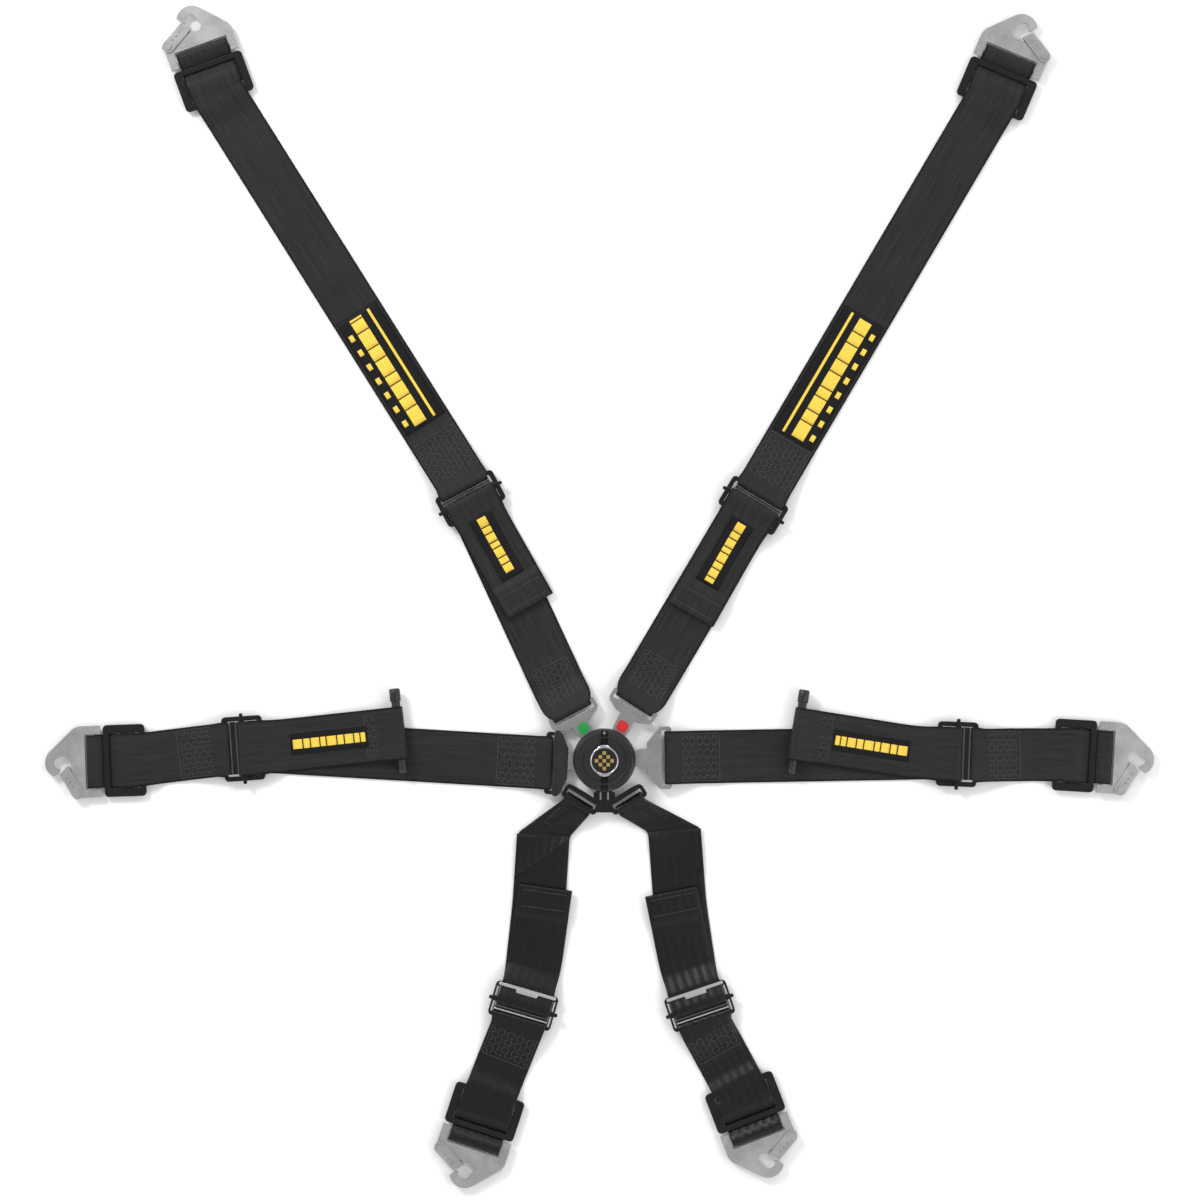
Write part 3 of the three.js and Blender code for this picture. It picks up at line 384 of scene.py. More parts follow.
def rectangle(u0, u1, v0, v1, corner, steps=3):
    """The outline of a rectangle with rounded corners."""
    out = []
    for cu, cv, start in ((u1 - corner, v0 + corner, -90), (u1 - corner, v1 - corner, 0),
                          (u0 + corner, v1 - corner, 90), (u0 + corner, v0 + corner, 180)):
        for i in range(steps + 1):
            p = polar(corner, start + 90 * i / steps)
            out.append((cu + p.x, cv + p.y))
    return out


def circle(radius, at, count):
    return [(at[0] + p.x, at[1] + p.y) for p in (polar(radius, 360 * i / count) for i in range(count))]


def walls(rows, count, close=False):
    """Faces between rows of points, each row closed on itself, then the two ends unless the rows close."""
    faces = []
    for k in range(rows if close else rows - 1):
        a, b = k * count, (k + 1) % rows * count
        for i in range(count):
            j = (i + 1) % count
            faces.append((a + i, a + j, b + j, b + i))
    return faces if close else faces + [tuple(range(count)), tuple(range((rows - 1) * count, rows * count))]


def turned(name, rings, material, count, close=True):
    """A round solid on the knob from rings of (radius, height); a radius may be a function of the angle."""
    vertices = []
    for radius, height in rings:
        for i in range(count):
            angle = 360 * i / count
            p = polar(radius(angle) if callable(radius) else radius, angle)
            vertices.append((p.x, p.y, height))
    made = to_object(name, vertices, walls(len(rings), count, close), material)
    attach(made, "knob")


# ---------------- webbing

MAX_STEP, MIN_STEP = 6.0, 0.15  # between two rings of points along the webbing
EASED = 14.0  # a corner of a strap's plan is rounded from this far off
STITCH, THREAD = 3.2, 0.5  # a straight stitch's length, the thread's radius
# half of the webbing's cross-section, as shares of its half width and half thickness
SECTION = [(-1, 0.3), (-0.985, 0.8), (-0.95, 1), (-0.66, 1), (-0.33, 1), (0, 1),
           (0.33, 1), (0.66, 1), (0.95, 1), (0.985, 0.8), (1, 0.3)]


class Plan:
    """The strap seen from above: its two edges at any distance along it."""

    def __init__(self, *stretches):
        """Each stretch is (points, width); the strap widens evenly from one to the next."""
        knots = []
        for points, width in stretches:
            knots += [(p, h, width) for p, h in self.eased([Vector(p) for p in points])]
        self.knots, travelled = [], 0.0
        for i, (p, direction, width) in enumerate(knots):
            if i:
                travelled += (p - knots[i - 1][0]).length
            left = Vector((-direction.y, direction.x)) * width / 2
            self.knots.append((travelled, p + left, p - left))

    @staticmethod
    def eased(points):
        out = [(points[0], (points[1] - points[0]).normalized())]
        for a, b, c in zip(points, points[1:], points[2:]):
            before, after = (b - a), (c - b)
            p = b - before.normalized() * min(EASED, before.length / 2)
            q = b + after.normalized() * min(EASED, after.length / 2)
            for t in spaced(0, 1, 6):
                place = p * (1 - t) ** 2 + b * 2 * t * (1 - t) + q * t * t
                direction = ((b - p) * (1 - t) + (q - b) * t).normalized()
                out.append((place, direction))
        return out + [(points[-1], (points[-1] - points[-2]).normalized())]

    def edges(self, s):
        for first, second in zip(self.knots, self.knots[1:]):
            if s <= second[0] or second is self.knots[-1]:
                t = (s - first[0]) / max(second[0] - first[0], 1e-6)
                return first[1].lerp(second[1], t), first[2].lerp(second[2], t)

    def nearest(self, point):
        """Distance along the strap at which it passes a point."""
        best = (1e9, 0.0)
        for first, second in zip(self.knots, self.knots[1:]):
            a, b = (first[1] + first[2]) / 2, (second[1] + second[2]) / 2
            span = b - a
            t = max(0, min(1, (Vector(point) - a).dot(span) / max(span.length_squared, 1e-9)))
            best = min(best, ((a + span * t - Vector(point)).length, first[0] + t * (second[0] - first[0])))
        return best[1]

    def point(self, s, v=0.0, z=0.0):
        left, right = self.edges(s)
        middle, half = (left + right) / 2, (left - right) / 2
        place = middle + half.normalized() * v
        return Vector((place.x, place.y, z))

    def heading(self, s):
        left, right = self.edges(s)
        across = left - right
        return math.degrees(math.atan2(-across.x, across.y))


def shape_of(knots):
    """A plan from its own edge points, (distance, left, right)."""
    plan = Plan.__new__(Plan)
    plan.knots = knots
    return plan


def arc(s, z, radius, start, end, steps=10):
    """Points round a bar; angles in the strap's side view, 0 ahead and 90 up."""
    turns = [math.radians(angle) for angle in spaced(start, end, steps)]
    return [(s + radius * math.cos(turn), z + radius * math.sin(turn)) for turn in turns]


def rounded(line, cut):
    """A line's points with its corners rounded and its long stretches divided."""
    points = [Vector(p) for p in line]
    out = [points[0]]
    for a, b, c in zip(points, points[1:], points[2:]):
        before, after = (a - b), (c - b)
        p = b + before.normalized() * min(cut, before.length / 2)
        q = b + after.normalized() * min(cut, after.length / 2)
        out += [p * (1 - t) ** 2 + b * 2 * t * (1 - t) + q * t * t for t in (0, 0.33, 0.67, 1)]
    out.append(points[-1])
    dense = [out[0]]
    for p in out[1:]:
        gap = (p - dense[-1]).length
        if gap < MIN_STEP:
            continue
        parts = max(1, math.ceil(gap / MAX_STEP))
        start = dense[-1]
        dense += [start.lerp(p, i / parts) for i in range(1, parts + 1)]
    return dense


def ribbon(name, plan, line, material, slot, thickness=THICK, cut=4.0):
    """Webbing that follows line, points (s, z), along its plan. Returns the piece and its length."""
    path = rounded(line, cut)
    vertices, weave, length = [], [], 0.0
    for i, (s, z) in enumerate(path):
        before, after = path[max(i - 1, 0)], path[min(i + 1, len(path) - 1)]
        length += (path[i] - before).length if i else 0
        run = (after - before).normalized()
        left, right = plan.edges(s)
        middle, half = (left + right) / 2, (left - right) / 2
        ahead = Vector((half.y, -half.x)).normalized()
        normal = Vector((ahead.x * -run.y, ahead.y * -run.y, run.x))
        for side in (1, -1):
            for share, height in (SECTION if side > 0 else SECTION[::-1]):
                place = Vector((*(middle + half * share), z)) + normal * side * height * thickness / 2
                vertices.append(place)
                weave.append((length * MM, half.length * share * MM, abs(share)))
    ring, rows = 2 * len(SECTION), len(path)
    faces = walls(rows, ring)[:-2]
    for base in (0, (rows - 1) * ring):
        for j in range(len(SECTION) - 1):
            faces.append((base + j, base + j + 1, base + ring - 2 - j, base + ring - 1 - j))
    made = to_object(name, vertices, faces, material)
    attribute = made.data.attributes.new("weave", "FLOAT_VECTOR", "POINT")
    attribute.data.foreach_set("vector", [c for w in weave for c in w])
    return made, length


def level(profile, s):
    """Height of a layer's middle at a distance along the strap."""
    for (s0, z0), (s1, z1) in zip(profile, profile[1:]):
        if min(s0, s1) <= s <= max(s0, s1):
            return z0 + (z1 - z0) * (s - s0) / ((s1 - s0) or 1)
    return profile[0][1] if abs(s - profile[0][0]) < abs(s - profile[-1][0]) else profile[-1][1]


def stitches(name, plan, profile, runs):
    """Thread lying on the webbing. Each run is a list of (s, v) corners; a stitch joins each two."""
    vertices, faces = [], []
    for run in runs:
        for (s0, v0), (s1, v1) in zip(run, run[1:]):
            a = plan.point(s0, v0, level(profile, s0) + HALF)
            b = plan.point(s1, v1, level(profile, s1) + HALF)
            along = (b - a).normalized()
            beside = along.cross(Vector((0, 0, 1))).normalized() * THREAD
            middle = (a + b) / 2
            a, b = a + (middle - a) * 0.08, b + (middle - b) * 0.08
            base = len(vertices)
            up, sunk = Vector((0, 0, 0.32)), Vector((0, 0, -0.1))
            for point, raise_by in ((a, sunk), (a.lerp(b, 0.25), up), (a.lerp(b, 0.75), up), (b, sunk)):
                vertices += [point + beside * 0.9 + sunk, point + raise_by, point - beside * 0.9 + sunk]
            for k in range(3):
                lo, hi = base + 3 * k, base + 3 * (k + 1)
                faces += [(lo, lo + 1, hi + 1, hi), (lo + 1, lo + 2, hi + 2, hi + 1),
                          (lo + 2, lo, hi, hi + 2)]
            faces += [(base, base + 1, base + 2), (base + 9, base + 10, base + 11)]
    made = to_object(name, vertices, faces, "thread")
    return made


def zigzag(s0, s1, v0, v1, columns, pitch):
    """Columns of zigzag stitching that fill a rectangle, each running along the strap."""
    runs, width = [], (v1 - v0) / columns
    steps = max(2, round((s1 - s0) / pitch))
    for c in range(columns):
        low, high = v0 + c * width + 0.5, v0 + (c + 1) * width - 0.5
        runs.append([(s0 + (s1 - s0) * i / steps, (low, high)[(i + c) % 2]) for i in range(steps + 1)])
    return runs


def divided(first, last):
    """The ends of the straight stitches of one seam."""
    return spaced(first, last, max(2, round((last - first) / STITCH)))


def row(s, hold):
    """A seam across the webbing."""
    return [(s, v) for v in divided(-hold, hold)]


def border(s0, s1, v):
    """Two seams along the webbing, one near each edge."""
    return [[(s, v) for s in divided(s0, s1)], [(s, -v) for s in divided(s0, s1)]]


# ---------------- one arm

random.seed(7)
WAVE = 70.0  # about the length of one soft wave of the webbing
BEHIND = 20  # a strap's plan starts this far behind the bar it turns round
BEHIND_GRIP = 30  # and the tail's plan this far behind the grip bar
WIDENING = ((3, 0.45), (7, 0.12))  # distance from the tongue's bar, share of the width at the bar
DOUBLED, DOUBLED_OUTER = 50, 49  # how far the loop at a bar is sewn down
MEET = 28  # from the tongue's bar to where the two layers of its loop meet
MOUTH = (1.9, 10.16)  # the upper layer beside the tongue's bar
LIP_RUN = 24  # from the adjuster's lip to where the tail lies on the strap
MITRE = 50.0  # length of the crotch strap's mitred flap
SLIDE_REACH = 13  # the webbing bends this far before the slide
LIFT = 0.25, 0.5  # of a label and of what is woven into it
LETTERS, SMALL_LETTERS = (17, 11, 14, 9, 16, 12), (9, 6, 8, 5)  # lengths of the plain blocks

# Where the large label lies on each shoulder strap, from its lower to its upper end.
LABEL = {
    "shoulder_left": ((-170, 322), (-233, 432)),
    "shoulder_right": ((174, 310), (249, 426)),
}


class Arm:
    """The names, places and headings that the pieces of one arm share."""

    def __init__(self, name, spec):
        self.name, self.spec = name, spec
        self.crotch, self.lap = name.startswith("crotch"), name.startswith("lap")
        self.cloth, self.slot = ("crotch", "crotch_webbing") if self.crotch else ("webbing", "webbing")
        self.end_body = END_BODY.get(name, name + "_end")
        self.adjusting, self.free, self.outer = name + "_adjusting", name + "_free_end", name + "_outer"
        radius, angle, bar_heading = spec["bar"]
        self.bar, self.bar_way = polar(radius, angle), heading_vector(bar_heading)
        self.corners = [self.bar]
        for heading, length in spec["legs"]:
            self.corners.append(self.corners[-1] + polar(length, heading))
        self.centre = self.corners[-1]
        self.way, self.size = heading_vector(spec["adjuster"][0]), spec["adjuster"][1]
        self.grip_back = (self.size - FRAME_BAR) / 2
        self.pivot = self.centre + self.way * self.grip_back
        self.slide = self.centre + polar(spec["outer"][1], spec["outer"][0])
        self.hook_way = heading_vector(spec["hook"])
        self.hook = self.slide + self.hook_way * SLIDE_TO_HOOK
        # from the grip bar back to where the tail lies on the strap
        self.bend_back = self.size - FRAME_BAR / 2 - self.grip_back + LIP_RUN
        self.bend = self.centre - self.way * self.bend_back
        self.tail_way, self.free_run = heading_vector(spec["tail"][0]), spec["tail"][1]
        self.tail_end = self.bend + self.tail_way * self.free_run

    def webbing(self, part, plan, line, **how):
        return ribbon(f"{self.name}_{part}", plan, line, self.cloth, self.slot, **how)

    def seam(self, part, plan, profile, runs, body):
        made = stitches(f"{self.name}_{part}_stitching", plan, profile, runs)
        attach(made, body)
        return made


def wavy(s0, s1, z, height):
    """A stretch of webbing that doesn't lie dead flat."""
    count = max(1, round((s1 - s0) / WAVE))
    out = [(s0, z)]
    for i in range(count):
        middle = s0 + (s1 - s0) * (i + 0.5) / count
        out += [(middle, z + height * random.uniform(0.4, 1)), (s0 + (s1 - s0) * (i + 1) / count, z)]
    return out


def strip(name, plan, ends, v, width, profile, material, lift, thickness=0.4):
    """A narrow band lying on the webbing from one distance to another, off its middle by v."""
    knots = []
    for distance, left, right in plan.knots:
        middle, half = (left + right) / 2, (left - right).normalized()
        knots.append((distance, middle + half * (v + width / 2), middle + half * (v - width / 2)))
    steps = max(2, round((ends[1] - ends[0]) / 5))
    line = [(s, level(profile, s) + HALF + lift) for s in spaced(*ends, steps)]
    return ribbon(name, shape_of(knots), line, material, "webbing", thickness, 1.0)[0]


def blocks(name, plan, profile, ends, v, width, pattern, gap=1.2):
    """A row of plain yellow blocks along the webbing, in place of printed letters."""
    made, at = [], ends[0]
    while at < ends[1] - 2:
        end = min(at + pattern[len(made) % len(pattern)], ends[1])
        block = f"{name}_{len(made)}"
        made.append(strip(block, plan, (at, end), v, width, profile, "yellow", LIFT[1], 0.5))
        at = end + gap
    bpy.ops.object.select_all(action="DESELECT")
    for o in made:
        o.select_set(True)
    bpy.context.view_layer.objects.active = made[0]
    bpy.ops.object.join()
    made[0].name = name
    return made[0]


def inner_strap(arm):
    """Round the tongue's bar, along to the adjuster and up under its grip bar."""
    name, bar, bar_way, centre, way = arm.name, arm.bar, arm.bar_way, arm.centre, arm.way
    at, narrow, corners = BEHIND, arm.spec["end"], arm.corners
    to_adjuster = [centre - way * 24, centre + way * 40]
    if arm.crotch:
        past_corner = corners[1] + (corners[2] - corners[1]).normalized() * 16
        plan = Plan(([bar - bar_way * BEHIND, bar + bar_way * 5], narrow),
                    ([corners[1], corners[2], *to_adjuster], WIDTH))
        sewn = plan.nearest(past_corner) - BEHIND
    else:
        wider = [([bar + bar_way * s, bar + bar_way * (s + 1)], narrow * share + WIDTH * (1 - share))
                 for s, share in WIDENING]
        plan = Plan(([bar - bar_way * BEHIND, bar], narrow), *wider,
                    ([bar + bar_way * 12, bar + bar_way * 24, *to_adjuster], WIDTH))
        sewn = DOUBLED
    last = plan.nearest(centre)
    top = [(at + sewn + 7, HALF), (at + sewn, STACKED), (at + MEET, STACKED), (at + 9.5, 7.7)]
    run = wavy(at + sewn + 7, last - 34, HALF, 0.25)[::-1]
    climb = [(last + GRIP_LOOP, GRIP_Z), (last + 3.2, GRIP_Z - 2.4), (last - 1, 4.6), (last - 16, 1.2),
             (last - 24, HALF)]
    line = climb + run + top[1:] + arc(at, TONGUE_BAR_Z, TONGUE_LOOP, 60, 300)
    line += [(at + 9.5, 5.9), (at + MEET, HALF), (at + sewn - 1, HALF)]
    inner, length = arm.webbing("inner_webbing", plan, line)
    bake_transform(inner)
    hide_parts(f"{name}_inner_strap")
    layer = [*top, (at + MOUTH[0], MOUTH[1])]
    if arm.crotch:
        sewing = [*border(at + 12, at + 30, 11), row(at + 31, 11)]
    else:
        hold = WIDTH / 2 - 3.5 if arm.lap else narrow / 2 - 2.5
        sewing = zigzag(at + 12, at + sewn - 3, -hold, hold, 7, 3.6)
        sewing += [row(at + sewn - 1.5, hold), *border(at + 12, at + sewn - 2, hold + 0.8)]
    stitched = [arm.seam("end", plan, layer, sewing, arm.end_body)]
    if arm.crotch:
        stitched += mitre(arm, plan, layer)
    return inner


def mitre(arm, plan, layer):
    """The crotch webbing's folded half on the narrow stretch, and the mitred flap under its corner."""
    on_left = arm.name == "crotch_left"
    corner = plan.nearest(arm.corners[1])
    cut_left, cut_right = (0.0, 0.42) if on_left else (0.42, 0.0)
    half_fold = [(s, left.lerp(right, cut_left), right.lerp(left, cut_right))
                 for s, left, right in plan.knots]
    line = [(s, level(layer, s) + THICK) for s in spaced(BEHIND + 6.5, corner - 5, 8)]
    fold = arm.webbing("folded_half", shape_of(half_fold), line, thickness=0.9, cut=1.0)[0]
    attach(fold, arm.end_body)
    reach_left, reach_right = (4, 44) if on_left else (44, 4)
    knots = [(MITRE * t, plan.edges(corner + reach_left * t)[0], plan.edges(corner + reach_right * t)[1])
             for t in spaced(0, 1, 8)]
    line = [(MITRE * t, STACKED + HALF + 0.26 - 1.1 * max(0, t - 0.35)) for t in spaced(0, 1, 10)]
    flap = arm.webbing("mitre_flap", shape_of(knots), line, thickness=0.5, cut=1.0)[0]
    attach(flap, arm.end_body)
    return [fold, flap]


class Tail:
    """Over the grip bar and the lip, down on the strap, to its hem or pull rod."""

    def __init__(self, arm):
        self.arm = arm
        back, way = arm.bend_back, arm.way
        past_end = arm.tail_end + arm.tail_way * 30
        self.plan = Plan(([arm.centre + way * BEHIND_GRIP, arm.centre - way * (back - 26)], IN_FRAME),
                         ([arm.centre - way * (back - 16), arm.bend, past_end], WIDTH))
        at = BEHIND_GRIP
        self.lip, self.foot = lip, foot = at + back - LIP_RUN, at + back
        self.finish = finish = foot + arm.free_run
        top = [(at, GRIP_Z + GRIP_LOOP), (at + 3.5, GRIP_Z + GRIP_LOOP), (lip - 3, 9.0), (lip + 2, 8.95),
               (foot - 4, LAID_OVER), (foot + 16, LAID_OVER)]
        low, high = TAIL_LEVEL, TAIL_LEVEL + THICK
        if arm.lap:
            top += [(foot + 30, 2.5), (foot + 52, low), (finish - 44, low), (finish - 34, high),
                    (finish - 18, high), (finish - 7.5, 11.6)]
            line = top + arc(finish, ROD_Z, ROD_LOOP, 125, -125, 14)
            line += [(finish - 9, 4.6), (finish - 20, low), (finish - 33, low)]
        else:
            hem = finish - HEM
            top += [(foot + 40, low), (hem - 7, low), (hem - 1, high + THICK), (finish - 1.8, high + THICK)]
            line = top + [(finish, low + 1.6 * THICK), (finish, low + 0.5), (finish - 2, low),
                          (hem + 2, low), (hem + 0.4, low + 0.5), (hem + 0.4, high - 0.4),
                          (hem + 2.4, high), (finish - 3, high)]
        line = arc(at, GRIP_Z, GRIP_LOOP, 180, 100, 6) + line[1:]
        self.top = top
        self.piece, self.length = arm.webbing("tail_webbing", self.plan, line, cut=4.0 if arm.lap else 2.5)
        self.blend_from = self.plan.point(foot - 8) * MM
        self.blend_to = self.plan.point(finish - (48 if arm.lap else HEM + 5)) * MM
        self.blend(self.piece)
        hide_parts(f"{arm.name}_strap_turn", f"{arm.name}_tail")
        hold = WIDTH / 2 - 4
        if arm.lap:
            rows = [row(finish - 19.5, hold), row(finish - 32, hold)]
            rows += zigzag(finish - 31, finish - 21, -hold, hold, 9, 3.3)
        else:
            rows = [row(finish - 4.5, hold), row(finish - HEM + 4, hold)]
        self.on_it = [arm.seam("tail", self.plan, top, rows, arm.free)]

    def blend(self, piece):
        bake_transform(piece)

    def label(self, patch_ends, width, block_ends):
        """The small woven label with its row of plain blocks."""
        name = self.arm.name
        patch = strip(f"{name}_tail_label", self.plan, patch_ends, 0, width, self.top, "label", LIFT[0])
        self.blend(patch)
        row_of_blocks = blocks(f"{name}_tail_blocks", self.plan, self.top, block_ends, 0, 9, SMALL_LETTERS)
        self.blend(row_of_blocks)
        self.on_it += [patch, row_of_blocks]


def outer_strap(arm):
    """Round the pivot bar, sewn, through the three-bar slide and round the hook's bar."""
    pivot, way, slide, hook_way = arm.pivot, arm.way, arm.slide, arm.hook_way
    plan = Plan(([pivot - way * BEHIND, pivot + way * 3], IN_FRAME),
                ([pivot + way * 10, slide - hook_way * SLIDE_REACH], WIDTH),
                ([slide - hook_way * 8, slide + hook_way * 15], IN_FRAME),
                ([slide + hook_way * 22, slide + hook_way * (SLIDE_TO_HOOK + 30)], WIDTH))
    at, mid = BEHIND, plan.nearest(slide)
    sewn = min(DOUBLED_OUTER, mid - at - 60)
    lower = [(at + sewn + 8, HALF), (at + sewn, HALF), (at + 14, 5.3), (at + 6, 5.0)]
    upper = [(at + 13, 7.1), (at + sewn, STACKED), (at + sewn + 9, STACKED), (at + sewn + 15, HALF)]
    run = wavy(at + sewn + 15, mid - 40, HALF, 0.9)
    over = [(mid - 33, STACKED), (mid - 22.5, OVER_END_BAR), (mid - 13.5, OVER_END_BAR + 0.1),
            (mid - 4.5, OVER_SLIDE), (mid + 4.5, OVER_SLIDE),
            (mid + 14, STACKED), (mid + 20, STACKED), (mid + 26, 7.9)]
    under = [(mid + 25.5, 1.9), (mid + 21, HALF), (mid + 14, HALF), (mid + 4.5, OVER_SLIDE - THICK),
             (mid - 4.5, OVER_SLIDE - THICK), (mid - 14, HALF), (mid - 26, HALF)]
    line = lower + arc(at, PIVOT_Z, PIVOT_LOOP, -60, -300) + upper[:-1] + run + over
    line += arc(mid + SLIDE_TO_HOOK, HOOK_Z, HOOK_LOOP, 115, -115, 12) + under
    strap, length = arm.webbing("outer_webbing", plan, line, cut=3.0)
    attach(strap, arm.outer)
    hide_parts(f"{arm.name}_outer_strap")
    profile = [(at + 1.9, 9.4), *upper, *run[1:], *over]
    hold = WIDTH / 2 - 3.5
    sewing = zigzag(at + 13, at + sewn + 6, -hold, hold, 9, 3.6)
    sewing += [row(at + sewn + 8, hold), *border(at + 12, at + sewn + 8, hold + 0.9)]
    return strap, length, plan, profile, [arm.seam("outer", plan, profile, sewing, arm.outer)]


def large_label(arm, plan, profile):
    """The woven label on a shoulder strap: a band of blocks, a thin line and a row of small marks."""
    name, side = arm.name, 1 if arm.name == "shoulder_left" else -1
    low, high = (plan.nearest(place) for place in LABEL[name])
    made = [
        strip(f"{name}_label", plan, (low, high), 0, 44, profile, "label", LIFT[0]),
        blocks(f"{name}_label_blocks", plan, profile, (low + 4, high - 4), side * 3.5, 13, LETTERS),
        strip(f"{name}_label_line", plan, (low + 3, high - 3), -side * 11.5, 2.6, profile, "yellow",
              LIFT[1]),
        blocks(f"{name}_label_marks", plan, profile, (low + 8, high - 8), side * 16.5, 4.5, (6.5,), 9.5),
    ]
    for piece in made:
        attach(piece, arm.outer)
    return made


def build_arm(arm):
    inner = inner_strap(arm)
    tail = Tail(arm)
    strap, length, plan, profile, on_outer = outer_strap(arm)
    if arm.lap:
        start = tail.foot + 2
        tail.label((start, start + 74), 20, (start + 2, start + 72))
    elif not arm.crotch:
        on_outer += large_label(arm, plan, profile)
        hem = tail.finish - HEM
        tail.label((tail.lip + 3, hem - 8), 24, (tail.lip + 5, hem - 11))


arms = {name: Arm(name, spec) for name, spec in ARMS.items()}
for arm in arms.values():
    build_arm(arm)

# ---------------- hardware on each arm

SPRING_BAR = 9.9  # height of the crotch adjuster's bright spring bar
MARK_ROW = 30.4  # the hook's pressed marks, across it from its middle


def hardware(arm):
    """The frame, slide, hook and gate, with the small parts on them."""
    name, side, heading, size = arm.name, arm.spec["side"], arm.spec["adjuster"][0], arm.size
    finished(f"{name}_adjuster", "black_steel", 0.6)
    finished(f"{name}_slide", "black_steel", 0.7, 3)
    finished(f"{name}_hook", "zinc", 0.45)
    finished(f"{name}_gate", "zinc", 0.35)

    def bar(us, vs, low, high, corner, bevel=0.3, segments=2):
        """A bar on the adjuster: us along it from the pivot bar, vs across it, heights from its top."""
        outline = rectangle(*us, *vs, corner)
        return prism(outline, ADJUSTER_TOP + low, ADJUSTER_TOP + high, arm.pivot, heading, bevel, segments)

    def on_adjuster(part, parts, material):
        detail(f"{name}_{part}", parts, material, "black_hardware", arm.adjusting)

    # a bar across the window, between the webbing round the pivot and the webbing round the grip bar
    grip = -(size - FRAME_BAR) / 2
    near, far = -PIVOT_LOOP - 1.1, grip + GRIP_LOOP + 1.1
    if arm.crotch:
        lip, base = FRAME_BAR / 2 - size, SPRING_BAR - ADJUSTER_TOP
        top = [bar((lip + 0.4, lip + 3.4), (-28, 28), base, base + 1.2, 1.2, 0.5, 3),
               bar((lip + 2.4, lip + 6.4), (-10.5, 10.5), base, base + 1.3, 1.2, 0.5, 3)]
        top += [bar((lip + 0.6, lip + 3.2), (v - 0.9, v + 0.9), -0.2, base + 1.1, 0.6)
                for v in (-27.4, 27.4)]
        on_adjuster("adjuster_spring_bar", top, "chrome")
        ridge_at = (far + 1.2,)
    else:
        flank = flanks(24.2, 26.0)[name in ("shoulder_left", "lap_right")]
        on_adjuster("adjuster_chrome", [bar((far + 0.3, near + 3.2), flank, 0, 3.2, 0.5)], "chrome")
        ridge_at = (near - 0.6, far + 0.8)
    on_adjuster("adjuster_crossbar", [bar((far, near), (-26, 26), -2.2, -0.2, 0.8, 0.5)], "black_steel")
    on_adjuster("adjuster_ridges", [bar((u - 0.6, u + 0.6), (-25.5, 25.5), -0.3, 0.9, 0.5, 0.45, 3)
                                    for u in ridge_at], "gunmetal")
    if arm.crotch:
        bright = bar((near - 0.9, near + 0.4), (-26, 26), -0.3, 1.1, 0.6, 0.5, 3)
        on_adjuster("adjuster_bright_bar", [bright], "chrome")
    on_adjuster("adjuster_rails", [bar((FRAME_BAR * 1.5 - size, -1.5), vs, 0, 0.7, 0.6)
                                   for vs in flanks(27.4, 29.1)], "chrome" if arm.crotch else "black_steel")
    base = GRIP_Z - ADJUSTER_TOP
    on_adjuster("grip_pins", [bar((grip - 1.7, grip + 1.7), vs, base - 1.5, base + 1.7, 1.2, 1.1, 3)
                              for vs in flanks(29, 34)], "black_steel")

    # plain marks pressed into the hook, and dimples in its gate
    def on_hook(outline, base, rise, bevel):
        return prism(outline, base, base + rise, arm.hook, arm.spec["hook"], bevel)

    row_at = -side * MARK_ROW
    marks = [on_hook(rectangle(u, u + 2.4, row_at - 1.9, row_at + 1.9, 0.5), HOOK_TOP, 0.45, 0.15)
             for u in (-4, 0, 4)]
    marks.append(on_hook(circle(1.3, (12.5, -side * 27), 16), HOOK_TOP, 0.5, 0.2))
    detail(f"{name}_hook_marks", marks, "zinc", "zinc_hook", name + "_snap_hook")
    along, out = heading_vector(GATE_HEADING), heading_vector(GATE_HEADING + 90)
    spots = [Vector(GATE_PIVOT) + along * distance + out * 1.2 for distance in (8, 13, 18)]
    dimples = [on_hook(circle(1.1, (spot.x, side * spot.y), 14), GATE_TOP - 0.1, 0.4, 0.2)
               for spot in spots]
    detail(f"{name}_gate_dimples", dimples, "steel", "zinc_hook", name + "_hook_gate")


for arm in arms.values():
    hardware(arm)

# ---------------- pull rods

ROD_HALF, ROD_CAP = 40.5, 12.5  # the rod's half length, its cap's length
ROD_RADIUS, CAP_RADIUS = 4.3, 5.2
ROD_RINGS, ROD_SIDES = 150, 56
KNURL_DEPTH, KNURL_TURNS = 0.22, 7


